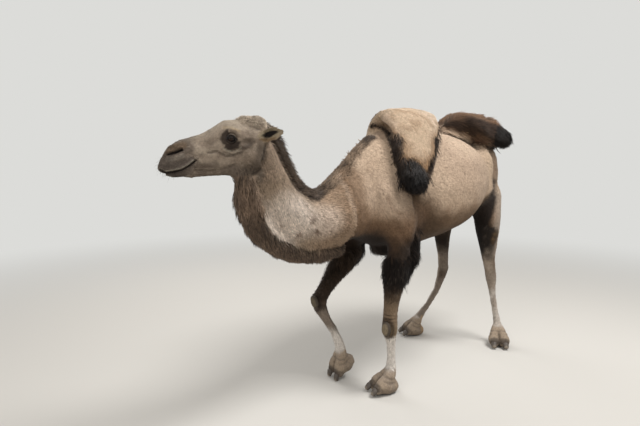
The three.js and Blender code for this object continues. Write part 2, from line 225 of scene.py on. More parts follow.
def triangleAreas(corners):
    return np.linalg.norm(np.cross(corners[:, 1] - corners[:, 0], corners[:, 2] - corners[:, 0]), axis=1) / 2


def cornerShares(count):  # where points that lie at random on triangles are between their corners
    u, v = chance.random((2, count))
    return np.where(u + v > 1, 1 - u, u), np.where(u + v > 1, 1 - v, v)


def towards(colours, other, share):
    return colours + (other - colours) * share[:, None]


def finish(piece, slot, *nodes):
    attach(piece, "root")
    if nodes:
        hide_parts(*nodes)


# The studio: a pale floor and backdrop, and soft light.
studio = {"floor": "#cbc7c0", "sky": "#dcdcd9", "tint": (1, 0.99, 0.97, 1), "skyLight": 0.44,
          "fadeStart": 2.4, "fadeEnd": 8.0}


def seenOnly(tree):  # 1 for the camera and in reflections, 0 for the light that falls on the camel
    path = addNode(tree, "ShaderNodeLightPath")
    rays = {0: path.outputs["Is Camera Ray"], 1: path.outputs["Is Glossy Ray"]}
    return addNode(tree, "ShaderNodeMath", rays, operation="MAXIMUM").outputs[0]


bpy.ops.mesh.primitive_plane_add(size=60, location=(0, 0, -0.001))
floor = bpy.context.object
floor.name = "studio_floor"
paleFloor, tree, surface = newMaterial("pale_painted_floor", Roughness=0.95, Base_Color=rgba(studio["floor"]))
floor.data.materials.append(paleFloor)  # matt paint: no gloss, so that only the shadow shows on it
# Far off, the floor fades into the pale backdrop for the camera, so that no horizon shows.
where = addNode(tree, "ShaderNodeTexCoord")
far = addNode(tree, "ShaderNodeVectorMath", {0: where.outputs["Object"]}, operation="LENGTH")
fade = addNode(
    tree, "ShaderNodeMapRange", {"Value": far.outputs["Value"]}, interpolation_type="SMOOTHSTEP",
    inputs={"From Min": studio["fadeStart"], "From Max": studio["fadeEnd"]})
share = addNode(tree, "ShaderNodeMath", {0: fade.outputs["Result"], 1: seenOnly(tree)}, operation="MULTIPLY")
glow = addNode(tree, "ShaderNodeEmission", inputs={"Color": rgba(studio["sky"]), "Strength": 1.0})
mixed = addNode(tree, "ShaderNodeMixShader", {0: share.outputs[0], 1: surface.outputs[0], 2: glow.outputs[0]})
tree.links.new(mixed.outputs[0], tree.nodes["Material Output"].inputs["Surface"])

world = bpy.data.worlds.new("studio_light")
scene.world = world
world.use_nodes = True
tree = world.node_tree
tree.nodes.clear()
soft = addNode(tree, "ShaderNodeBackground", inputs={"Color": studio["tint"], "Strength": studio["skyLight"]})
seen = addNode(tree, "ShaderNodeBackground", inputs={"Color": rgba(studio["sky"]), "Strength": 1.0})
mixed = addNode(tree, "ShaderNodeMixShader", {0: seenOnly(tree), 1: soft.outputs[0], 2: seen.outputs[0]})
addNode(tree, "ShaderNodeOutputWorld", {"Surface": mixed.outputs[0]})

lamps = {
    "key": {"at": (2500, 600, 5700), "aim": (0, -200, 1300), "size": 2.0, "power": 300},
    "front": {"at": (1400, -5200, 3600), "aim": (0, -1000, 1300), "size": 3.0, "power": 80},
    "far": {"at": (-4200, 600, 4200), "aim": (0, 0, 1200), "size": 3.0, "power": 95},
}
for name, lamp in lamps.items():
    spot = Vector(place(lamp["at"]))
    aim = Vector(place(lamp["aim"])) - spot
    bpy.ops.object.light_add(type="AREA", location=spot, rotation=aim.to_track_quat("-Z", "Y").to_euler())
    light = bpy.context.object
    light.name = f"softbox_{name}"
    light.data.size = lamp["size"]
    light.data.energy = lamp["power"]
print("studio lit")


# The head has its own frame: x across, y back along the head, z up, about the root of the ears.
headFrame = {"at": np.array((124, -1653, 1700)), "yaw": -33, "scale": 0.95}
headTurn = turnAbout("Z", headFrame["yaw"])


def toHead(spots):
    return (spots - headFrame["at"]) @ headTurn / headFrame["scale"]


def fromHead(spots):
    return spots * headFrame["scale"] @ headTurn.T + headFrame["at"]


# Each foot has one too, from the middle of its fetlock.
feet = {
    "fore_left": {"at": (206, -595, 150), "pitch": 0, "yaw": -26},
    "fore_right": {"at": (-195, -670, 203), "pitch": 32, "yaw": -16},
    "hind_left": {"at": (310, 785, 150), "pitch": 0, "yaw": 35},
    "hind_right": {"at": (-312, 498, 150), "pitch": 0, "yaw": -30},
}


def toFoot(spots, leg):
    foot = feet[leg]
    turn = turnAbout("Z", foot["yaw"]) @ turnAbout("X", foot["pitch"])
    return (spots - np.array(foot["at"])) @ turn


# The skin: every node of flesh and of long hair fused into one, and drawn in by the depth of the coat.
skinShape = {
    "grow": 0.0012,  # closes the gaps between the solids
    "voxel": 0.016,
    "rounds": 50,
    "pointEvery": 0.0003,  # square metres for each point that marks which part the skin is on
    # How far each part is smoothed, in square millimetres, to lose its flat faces but not its form.
    "spread": {
        "trunk": 1500, "neck": 600, "head": 90, "tail": 40, "hump": 330, "ear": 12, "leg": 60, "foot": 26,
        "mane": 420, "crown": 120, "chest": 260,
    },
    "thigh": 500,  # the same, for the top of a leg
    # How deep the coat is on each part, in millimetres.
    "coat": {
        "trunk": 5, "neck": 7, "head": 1.6, "tail": 3, "hump": 7, "ear": 0.8, "leg": 2.5, "foot": 0.8,
        "mane": 21, "crown": 4, "chest": 3,
    },
}
hairNodes = [
    "throat_mane", "nape_mane", "crown_tuft", "hump_front_tip", "hump_front_fringe_fore",
    "hump_front_fringe_rear", "hump_rear_tip", "hump_rear_crest", "elbow_hair_left", "elbow_hair_right",
    "tail_tuft",
]
legs = list(feet)
fleshNodes = ["trunk", "neck", "head", "tail", "hump_front", "hump_rear", "ear_left", "ear_right"]
fleshNodes += [f"{part}_{leg}" for leg in legs for part in ("leg", "foot")]
fleshNodes += ["chest_pad"]
bodyNodes = fleshNodes + hairNodes
copies = []
surfaceSpots, surfaceNode = [], []
for index, node in enumerate(bodyNodes):
    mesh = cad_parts[node].data.copy()
    copy = bpy.data.objects.new("flesh_" + node, mesh)
    scene.collection.objects.link(copy)
    copies.append(copy)
    # Points all over the node, which later tell which part of the animal a point of the skin is on.
    mesh.calc_loop_triangles()
    triangles = vertexArray(mesh)[readAll(mesh.loop_triangles, "vertices", 3, int)]
    areas = triangleAreas(triangles)
    count = int(areas.sum() / skinShape["pointEvery"]) + 60
    chosen = chance.choice(len(areas), count, p=areas / areas.sum())
    u, v = cornerShares(count)
    t = triangles[chosen]
    surfaceSpots.append(t[:, 0] + u[:, None] * (t[:, 1] - t[:, 0]) + v[:, None] * (t[:, 2] - t[:, 0]))
    surfaceNode.append(np.full(count, index))
surfaceSpots, surfaceNode = np.concatenate(surfaceSpots), np.concatenate(surfaceNode)


def nearestOf(spots):  # a tree that finds the nearest of some points
    tree = KDTree(len(spots))
    for i, spot in enumerate(spots):
        tree.insert(spot, i)
    tree.balance()
    return tree


nearestFlesh = nearestOf(surfaceSpots)
startEdit(*copies)
bpy.ops.mesh.remove_doubles(threshold=1e-5)
bpy.ops.transform.shrink_fatten(value=skinShape["grow"], use_even_offset=True)
endEdit()
bpy.ops.object.join()
skin = bpy.context.object
skin.data.materials.clear()
remesh = skin.modifiers.new("fuse", "REMESH")
remesh.mode = "VOXEL"
remesh.voxel_size = skinShape["voxel"]
bpy.ops.object.modifier_apply(modifier="fuse")
startEdit(skin)
bpy.ops.mesh.separate(type="LOOSE")
endEdit()
shells = list(bpy.context.selected_objects)
skin = max(shells, key=lambda o: len(o.data.vertices))
for shell in shells:
    if shell != skin:
        bpy.data.objects.remove(shell)
pick(skin)
skin.name = "camel_skin"
print("skin fused:", len(skin.data.polygons), "faces,", len(shells), "shells")


def nodeOf(points):
    return np.array([surfaceNode[nearestFlesh.find(p)[1]] for p in points])


kinds = [node.split("_")[0] for node in fleshNodes]
kinds += ["crown" if node == "crown_tuft" else "mane" for node in hairNodes]


def isPart(*names):  # true on the named nodes, or on all nodes of a kind
    return np.isin(owner, [i for i, kind in enumerate(kinds) if kind in names or bodyNodes[i] in names])


def partValues(table):
    return np.array([table[kind] for kind in kinds], float)[owner]


class Web:
    # The edges of a mesh, for averaging a value over each vertex's neighbours.
    def __init__(self, mesh):
        self.a, self.b = readAll(mesh.edges, "vertices", 2, int).T
        self.size = len(mesh.vertices)
        meeting = np.bincount(self.a, minlength=self.size) + np.bincount(self.b, minlength=self.size)
        self.count = np.maximum(meeting, 1)

    def mean(self, values):
        if values.ndim == 2:
            return np.stack([self.mean(column) for column in values.T], 1)
        total = np.bincount(self.a, values[self.b], self.size)
        total += np.bincount(self.b, values[self.a], self.size)
        return total / self.count

    def relax(self, values, amount, rounds):
        for _ in range(rounds):
            values = values + (self.mean(values) - values) * amount
        return values


web = Web(skin.data)
points = vertexArray(skin.data)
owner = nodeOf(points)
spread = partValues(skinShape["spread"])
spots = layout(points)
thigh = spread + (skinShape["thigh"] - spread) * smooth(spots[:, 2], 650, 1000)
spread = np.where(isPart("leg"), thigh, spread)
spread = web.relax(spread, 0.5, 6)
edge = skinShape["voxel"] * 1000
amount = np.minimum(spread * 4 / edge**2 / skinShape["rounds"], 0.9)[:, None]
before = points
normals = normalArray(skin.data)
points = web.relax(points, amount, skinShape["rounds"])
lost = ((before - points) * normals).sum(1)
points += normals * web.relax(lost, 0.6, 30)[:, None]
setVertices(skin.data, points)
print("skin smoothed")


def refine(chosen):  # splits the faces whose vertices are all chosen
    startEdit(skin)
    bpy.ops.mesh.select_mode(type="VERT")
    bpy.ops.mesh.select_all(action="DESELECT")
    endEdit()
    skin.data.vertices.foreach_set("select", chosen)
    bpy.ops.object.mode_set(mode="EDIT")
    bpy.ops.mesh.select_mode(type="VERT")
    bpy.ops.mesh.select_mode(use_extend=False, use_expand=False, type="FACE")
    bpy.ops.mesh.subdivide(number_cuts=1)
    endEdit()


# The eyes, in the head's frame: the middle of each opening, its half size, and the ball that lies behind it.
eyes = {"y": -146, "z": -15, "long": 19.5, "tall": 15.5, "tilt": -14, "deep": 84.0, "lidRadius": 26.0}


def eyeDistance(h):
    return np.hypot(h[:, 1] - eyes["y"], h[:, 2] - eyes["z"])


def headAndEyes(wide):  # the skin in the head's frame, what is beside the head, and what is near an eye
    h = toHead(layout(vertexArray(skin.data)))
    beside = (np.abs(h[:, 0]) < 160) & (h[:, 1] > -560) & (h[:, 1] < 150)
    return h, beside, (eyeDistance(h) < wide) & (np.abs(h[:, 0]) > 60)


# Three rounds of finer faces: head, feet and lower legs; eyes, muzzle and ears; lids, lips and nostrils.
slenderLeg = isPart("leg") & (layout(points)[:, 2] < 760)
refine(isPart("head", "ear", "foot", "tail", "crown") | slenderLeg)
h, beside, aroundEye = headAndEyes(50)
muzzle = (h[:, 1] < -360) & (np.abs(h[:, 2] + 130) < 130)
mouth = lineDistance(h[:, 1:], [(-500, -195), (-415, -190), (-330, -134)]) < 40
earZone = (np.abs(h[:, 0]) > 54) & (h[:, 1] > -6) & (h[:, 2] > -60)
refine((aroundEye | muzzle | mouth | earZone) & beside)
h, beside, aroundEye = headAndEyes(34)
lips = [(-505, -186), (-484, -194), (-405, -178), (-347, -139), (-328, -126)]
mouth = lineDistance(h[:, 1:], lips) < 13
slit = lineDistance(h[:, 1:], [(-470, -98), (-396, -76)]) < 19
refine((aroundEye | mouth | slit) & beside)
web = Web(skin.data)
points = vertexArray(skin.data)
owner = nodeOf(points)
inHead = isPart("head", "ear", "foot")
points = web.relax(points, np.where(inHead, 0.5, 0.0)[:, None], 4)
setVertices(skin.data, points)
print("skin refined:", sum(len(p.vertices) - 2 for p in skin.data.polygons), "triangles")


# The skin is shaped as a modeller would with a soft brush.
def groove(flat, path, width, depth):  # a furrow along a line, seen from one side
    return -depth * bell(lineDistance(flat, path), width)


def lump(flat, centre, radii, height):  # a swelling, or a hollow where the height is below 0
    r = np.linalg.norm((flat - np.array(centre)) / np.array(radii), axis=1)
    return height * smooth(r, 1.0, 0.0)


mouthLine = [(-512, -174), (-484, -190), (-448, -184), (-405, -174), (-369, -155), (-347, -137), (-326, -124)]
lowerLip = [(-478, -194), (-472, -208), (-442, -221), (-399, -221), (-368, -206), (-350, -176),
            (-330, -148), (-332, -132)]
lowerLip += [(-349, -142), (-372, -162), (-405, -182), (-448, -193)]
nostril = [(-476, -99), (-452, -88), (-424, -80), (-397, -69), (-394, -76), (-424, -90), (-452, -98)]
nostrilTop = nostril[:4]
jawBack = [(26, -21), (31, -62), (21, -115), (-4, -160), (-33, -190), (-71, -208), (-145, -210)]
faceStrokes = [  # seen from the side: (y, z) of the head's frame
    (lump, (-146, 30), (52, 20), 9),  # brow
    (lump, (-196, -6), (26, 36), -5),  # hollow before the eye
    (lump, (-66, -34), (44, 26), -11),  # hollow of the temple
    (groove, [(-118, -52), (-76, -60), (-30, -40)], 8, -3),  # cheekbone
    (groove, [(-186, -60), (-168, -76), (-130, -80), (-98, -62)], 4.5, 6),  # folds under the eye
    (groove, [(-188, -86), (-143, -101), (-98, -86)], 5, 6),
    (groove, [(-268, -86), (-216, -82), (-172, -107), (-128, -101)], 6, 6),
    (groove, [(-238, -100), (-196, -116), (-150, -120)], 8, 2),
    (groove, [(-328, -178), (-262, -188), (-218, -182), (-174, -167), (-130, -150)], 8, 9),  # along the jaw
    (groove, [(-120, -196), (-88, -170), (-70, -140)], 12, 3),
    (lump, (-58, -108), (74, 84), 10),  # chewing muscle
    (lump, (-300, -36), (90, 30), -5),  # side of the nose bone
    (lump, (-330, -100), (60, 40), -4),  # before the cheek
    (lump, (-432, -52), (52, 30), 11),  # wing of the nostril
    (lump, (-470, -78), (26, 30), 5),
    (lump, (-410, -120), (70, 26), 3),
    (lump, (-455, -150), (54, 40), 8),  # upper lip
    (groove, moved(mouthLine, 2, 11), 6, -4.5),  # its thick edge
    (groove, [(-340, -112), (-326, -134), (-334, -160)], 5, 5),  # corner of the mouth
    (groove, [(-368, -206), (-350, -176), (-332, -146)], 6, -3),  # edge of the lower lip
    (lump, (-420, -224), (44, 20), 6),  # chin
    (lump, (-302, -95), (9, 7), 3),  # wart with its whiskers
]
bodyStrokes = [  # seen from the side: (y, z) of the layout
    (groove, [(-770, 1500), (-765, 1300), (-775, 1120)], 20, 9),  # before the shoulder
    (groove, [(-850, 1440), (-850, 1280), (-845, 1130)], 14, 5),
    (groove, [(-905, 1420), (-915, 1270), (-905, 1140)], 12, 4),
    (groove, [(-960, 1380), (-975, 1260), (-970, 1160)], 12, 4),
    (groove, [(-925, 1500), (-930, 1330), (-905, 1200), (-835, 1100)], 15, 7),
    (groove, [(-500, 1330), (-470, 1180), (-455, 1080)], 22, 10),  # behind the shoulder
    (groove, [(-640, 1480), (-600, 1330), (-560, 1220)], 26, 5),
    (groove, [(-505, 1400), (-500, 1319), (-508, 1222), (-500, 1110)], 8, 11),
    (groove, [(-530, 1390), (-530, 1310), (-536, 1222)], 12, -5),
    (groove, [(-700, 1330), (-668, 1262), (-640, 1232), (-600, 1238)], 11, 7),
    (groove, [(-730, 1250), (-690, 1190), (-640, 1170)], 12, 6),
    (lump, (-700, 1380), (60, 90), 8),
    (lump, (-590, 1300), (50, 80), 8),
    (lump, (-655, 1230), (80, 130), 14),  # point of the shoulder
    (lump, (-560, 1120), (90, 110), 12),  # upper arm
    (groove, [(-640, 1130), (-590, 1040), (-520, 985)], 18, 7),
    # The flank.
    (groove, [(530, 1750), (632, 1685), (664, 1590), (664, 1500), (640, 1405), (578, 1320), (430, 1232)],
     18, 24),
    (lump, (520, 1450), (170, 250), 9),
    (lump, (200, 1250), (420, 250), 9),  # paunch
    (lump, (790, 1440), (90, 110), 10),  # pin bone
    (groove, [(760, 1330), (735, 1180), (720, 1030)], 18, 6),  # between the thigh muscles
]


def shapeBody(points, normals):
    q = layout(points)
    sideways = smooth(np.abs(normals[:, 0]), 0.15, 0.5)
    move = np.zeros(len(q))
    for brush, *stroke in bodyStrokes:
        move += brush(q[:, 1:], *stroke) * sideways
    move *= isPart("trunk", "neck", "leg")
    # The loose skin of the neck's underside and the muscles under it are never quite even.
    move += blotches(q, 260, 3, 3) * np.where(isPart("trunk", "neck"), 5.0, 1.2) * ~inHead
    return points + normals * (move / 1000)[:, None]


joints = {"fore_left": 470, "fore_right": 590, "hind_left": 575, "hind_right": 565}  # knees and hocks
toeFolds = [[(-62, -22), (-30, -42), (20, -48)], [(-80, -48), (-40, -66), (10, -70)],
            [(-128, -72), (-104, -96), (-96, -120)]]


def shapeLegs(points, normals):
    q = layout(points)
    move = np.zeros(len(q))
    for leg in legs:
        mine = isPart("leg_" + leg)
        # The shank narrows to a blade of sinews behind the bone.
        for z in np.arange(120, 700, 40):
            ring = mine & (np.abs(q[:, 2] - z) < 20)
            if ring.sum() < 6:
                continue
            across = np.abs(q[ring, 0] - q[ring, :2].mean(0)[0])
            move[ring] -= 3.0 * (smooth(across, 14, 26) * (normals[ring, 1] > 0.15) * smooth(z, 640, 420))
        # Joints stand out as bony knobs, and a hock has its point behind.
        joint = joints[leg]
        move += mine * smooth(np.abs(q[:, 2] - joint), 70, 0) * 4 * smooth(np.abs(normals[:, 0]), 0.3, 0.9)
        if leg.startswith("hind"):
            move += mine * smooth(np.abs(q[:, 2] - joint - 30), 60, 0) * 7 * smooth(normals[:, 1], 0.4, 0.9)
    # Loose skin in fine rings above the pads of the knees.
    for centre in ((230, -690, 535), (-245, -880, 655)):
        move += ball(q, centre, (80, 90, 60)) * 2.5 * np.sin(q[:, 2] / 3.6)
    for leg in legs:
        mine = isPart("foot_" + leg)
        f = toFoot(q, leg)
        cleft = bell(f[:, 0], 9) * smooth(f[:, 1], -40, -90)
        move -= mine * cleft * 16
        for fold in toeFolds:
            move += mine * groove(f[:, 1:], fold, 5, 4.5)
        move += mine * smooth(f[:, 2], -120, -140) * smooth(f[:, 2], -150, -142) * 3
        move += mine * blotches(q, 22, 8, 2) * 1.3
    return points + normals * (move / 1000)[:, None]


cheekSide = jawBack + [(-145, 0), (0, 0)]


def aroundLids(h):  # along and above the middle of an eye, the distance from it, and 1 at the lids' edge
    u, v = h[:, 1] - eyes["y"], h[:, 2] - eyes["z"]
    tilt = math.radians(eyes["tilt"])
    along, above = u * math.cos(tilt) + v * math.sin(tilt), v * math.cos(tilt) - u * math.sin(tilt)
    opening = np.hypot(along / eyes["long"], above / np.where(above > 0, eyes["tall"], eyes["tall"] * 0.94))
    return along, above, np.hypot(u, v), opening


def shapeHead(points, normals):
    q = layout(points)
    h = toHead(q)
    side = np.where(h[:, 0] < 0, -1.0, 1.0)
    on = isPart("head", "neck", "crown") & (h[:, 1] < 90) & (h[:, 2] < 190) & (h[:, 2] > -260)
    # The upper lip hangs forward over the lower one.
    droop = smooth(h[:, 1], -436, -488) * bell(h[:, 2] + 178, 34) * on
    h[:, 1:] -= droop[:, None] * (25, 4)
    under = ball(h * (0.5, 1, 1), (0, -448, -214), (60, 52, 34)) * on
    h[:, 1:] -= under[:, None] * (24, 9)
    points = np.where((droop + under > 0.01)[:, None], place(fromHead(h)), points)
    flat = h[:, 1:]
    # Strokes are drawn on the sides of the face; those of the lips go right round the front.
    sideways = smooth(np.abs(h[:, 0]), 14, 34)
    lips = smooth(flat[:, 0], -430, -470)
    move = np.zeros(len(h))
    for brush, *stroke in faceStrokes:
        move += brush(flat, *stroke) * sideways
    allRound = np.maximum(sideways, lips)
    # The nostril is a slit with a thick upper rim, and the mouth a dark gap under the overhanging upper lip.
    move -= 15 * area(flat, nostril, 5) * sideways
    move += groove(flat, moved(nostrilTop, -2, 9), 7, -5) * sideways
    move += groove(flat, [(-455, -116), (-424, -109), (-394, -98)], 6, -3) * sideways
    move -= 9 * area(flat, lowerLip, 3) * allRound * nearLine(flat, mouthLine, 52, 4)
    move += groove(flat, moved(mouthLine, 1, -4), 3.6, 11) * allRound
    move += groove(h[:, [0, 2]], [(0, -96), (0, -182)], 5, 8) * lips  # split of the upper lip
    # Behind the jaw the neck falls away at once, so that the cheek ends in a crisp edge.
    beyond = nearLine(flat, jawBack, 46, 0) * ~area(flat, cheekSide, 1).astype(bool)
    throat = isPart("head", "neck") & (flat[:, 1] > -215)
    move -= 13 * beyond * throat * sideways * (flat[:, 0] > -120)
    move += blotches(q, 60, 5, 2) * 0.9
    move += 13 * ball(h * (0.7, 1, 1), (0, 6, 76), (70, 60, 46))  # the poll, high between the ears
    points = points + normals * (move * on / 1000)[:, None]
    # Eye sockets: lids that hug the eyeball, a furrow round them, and the opening sunk out of sight.
    h = toHead(layout(points))
    along, above, r, opening = aroundLids(h)
    lid = eyes["deep"] + np.sqrt(np.maximum(eyes["lidRadius"] ** 2 - r**2, 30))
    lid += 2.4 * bell(opening - 1.14, 0.15)  # thick rim of the lids
    lid += 2.5 * smooth(above, 4, 14) * smooth(opening, 1.0, 1.2)  # the upper lid overhangs
    lid -= 2.6 * bell(r - 27, 2.4) * smooth(above, -8, 6)  # fold of the upper lid
    lid -= 1.8 * bell(r - 27.5, 2.2) * smooth(above, 0, -8)
    hold = smooth(r, 39, 26) * (np.abs(h[:, 0]) > 62)
    x = np.abs(h[:, 0]) * (1 - hold) + lid * hold
    x = np.where((opening < 1) & (np.abs(h[:, 0]) > 62), eyes["deep"] - 6, x)
    h[:, 0] = np.where(on & (r < 42), x * side, h[:, 0])
    return np.where((on & (r < 42))[:, None], place(fromHead(h)), points)


def earFrame(h, side):
    # The way out of an ear's cup; places along the ear, out of the cup and across it; and half its width.
    root, tip = np.array((62 * side, 12, -6)), np.array((112 * side, 124, 23))
    axis = (tip - root) / np.linalg.norm(tip - root)
    out = np.array((0.91 * side, -0.40, 0.0))
    out = unit(out - axis * (out @ axis))
    tall = np.cross(out, axis) * side
    d = h - root
    along = d @ axis / np.linalg.norm(tip - root)  # 0 at the root, 1 at the tip
    return out, along, d @ out, d @ tall, np.interp(along, [0, 0.3, 0.65, 1.0], [24, 43, 40, 18])


def shapeEars(points):
    h = toHead(layout(points))
    for side, node in ((1, "ear_left"), (-1, "ear_right")):
        near = (h[:, 0] * side > 55) & (h[:, 1] > -5) & (h[:, 1] < 160) & (h[:, 2] > -60)
        out, a, t, b, high = earFrame(h, side)
        cup = smooth(np.abs(b) / high, 0.93, 0.55) * smooth(a, 0.10, 0.24) * smooth(a, 1.02, 0.84)
        floorOfCup = 3 - np.interp(a, [0, 0.3, 0.65, 1.0], [10, 13, 9, 4])
        target = np.minimum(t, floorOfCup + 8 * (b / high) ** 2)
        carve = cup * (near & isPart(node, "head")) * (t > floorOfCup)
        h = h + out * ((target - t) * carve)[:, None]
    return place(fromHead(h))


for shape in (shapeBody, shapeLegs, shapeHead):
    points = shape(points, normalArray(skin.data))
    setVertices(skin.data, points)
points = shapeEars(points)
# The far side of the fallen front hump slopes down softly to the back.
spots = layout(points)
slope = ball(spots, (-190, -250, 1840), (210, 380, 190)) * smooth(spots[:, 0], -20, -120)
slope *= smooth(spots[:, 1], -430, -330)
points = web.relax(points, 0.5 * smooth(slope, 0.0, 0.3)[:, None], 60)
setVertices(skin.data, points)
# The skin is drawn in by the depth of the coat, but not at the lids.
depth = web.relax(partValues(skinShape["coat"]), 0.5, 8)
h = toHead(layout(points))
depth *= np.where(np.abs(h[:, 0]) < 130, smooth(eyeDistance(h), 26, 40), 1)
points = points - normalArray(skin.data) * (depth / 1000)[:, None]
points[:, 2] = np.maximum(points[:, 2], 0.0008)  # the soles stay just above the floor
setVertices(skin.data, points)
startEdit(skin)
bpy.ops.mesh.normals_make_consistent(inside=False)
endEdit()
bpy.ops.object.shade_smooth()
print("skin shaped")


# Markings: one colour for each point of the skin, which the coat on it takes too.
paints = {
    "tan": "#a68f79", "paleTan": "#b9a28b", "barrel": "#a58f7b", "barrelTopLight": "#c4ad96",
    "bellyBrownAndShade": "#775b42", "underBellyBrownAndShade": "#46331f", "shoulder": "#ab9580", "shoulderFoldShade": "#735b46",
    "armpitShade": "#4a3929", "upperArmBrownAndShade": "#604a38", "chest": "#261d17", "quarters": "#a8937c",
    "thigh": "#a39485", "thighFrontShade": "#17110e", "foldShade": "#6d5b4b", "neck": "#96836f",
    "neckPale": "#d8c8b9", "neckBase": "#9c846d", "neckSpot": "#5e4638", "neckShade": "#7b6a5b",
    "neckTop": "#917e6c", "head": "#857667", "crown": "#ab9c8a", "muzzle": "#564c44", "cheek": "#7b6c5d",
    "nostrilWing": "#5e4e3e", "lip": "#564d46", "lipEdge": "#b2ab9c", "slit": "#1b1512",
    "eyeDark": "#2b221d", "temple": "#3f352d", "lidEdge": "#120d0b", "lidSkin": "#42372f",
    "jawShade": "#453b33", "noseTopLight": "#9d907f", "lowerLip": "#453d37", "creaseShade": "#2b231d",
    "underEyeRidgeLight": "#9c9484", "browRidgeLight": "#a08c6d", "foreArm": "#1a1411", "foreArmLow": "#4b3c2f",
    "foreArmTan": "#75624e", "knee": "#78664f", "cannon": "#cfc7be", "rightArm": "#33281f",
    "hock": "#8d8073", "hindCannon": "#bdb3a8", "hindInner": "#4a3c30", "hindInnerLow": "#827569",
    "stifle": "#2a2019", "stifleSkin": "#5d4932", "foot": "#9b8a77", "toeDark": "#4b423b",
    "sole": "#42382f", "heel": "#a3855f", "humpTop": "#c3ab91", "humpPale": "#c2ae99",
    "humpEdge": "#8d6e50", "rearHump": "#735843", "rearHumpShade": "#382c24", "rearCrest": "#69513e",
    "longHair": "#2c231d", "tipHair": "#181310", "beard": "#665547", "beardHigh": "#77634f",
    "nape": "#45392f", "crest": "#75604c", "earBack": "#857461", "earRim": "#a19480",
    "earLobe": "#77624a", "earCupShade": "#15100d", "earHair": "#94866f", "tail": "#8b7862",
    "callus": "#2f2721",
}
paints = {name: linear(colour) for name, colour in paints.items()}


def layers(ground, *coats):
    # Each coat is a paint and how much of it covers what is there. The ground is colours, or a paint.
    colours = np.tile(paints[ground], (len(coats[0][1]), 1)) if isinstance(ground, str) else ground
    for name, share in coats:
        colours = towards(colours, paints[name], np.clip(share, 0, 1))
    return colours


# Outlines of patches on the animal's side: (y, z) of the layout.
armpitShade = [(-530, 1400), (-440, 1390), (-370, 1300), (-270, 1200), (-200, 1120), (-200, 950), (-530, 950)]
thighShade = [(600, 1450), (668, 1440), (690, 1420), (612, 1335), (556, 1200), (520, 1088), (545, 980),
              (560, 889), (555, 800), (300, 800), (300, 1170), (420, 1215), (520, 1290), (575, 1350)]
fold = [(530, 1755), (632, 1688), (660, 1590), (660, 1500), (636, 1405), (576, 1325)]
behindFold = [(530, 1760), (632, 1690), (660, 1590), (660, 1500), (636, 1405), (700, 1390), (770, 1500),
              (760, 1640), (700, 1730), (600, 1780)]
rearShade = [(240, 1852), (345, 1906), (402, 1916), (540, 1902), (640, 1868), (760, 1850), (840, 1780),
             (800, 1700), (690, 1728), (600, 1745), (520, 1766), (440, 1792), (380, 1812), (300, 1824),
             (250, 1838)]
beardEdge = [(-1733, 1490), (-1708, 1459), (-1678, 1416), (-1658, 1374), (-1654, 1332), (-1644, 1290),
             (-1615, 1244), (-1571, 1190), (-1505, 1138), (-1423, 1093), (-1339, 1060), (-1205, 1026),
             (-1058, 1012), (-930, 1020)]
beardZone = beardEdge + [(-700, 1030), (-700, 700), (-2300, 700), (-2300, 1700), (-1760, 1560)]
fringeTop = [(-82, -487, 1820), (-54, -475, 1832), (-21, -440, 1811), (1, -432, 1790), (57, -471, 1758),
             (139, -533, 1713), (192, -559, 1659)]


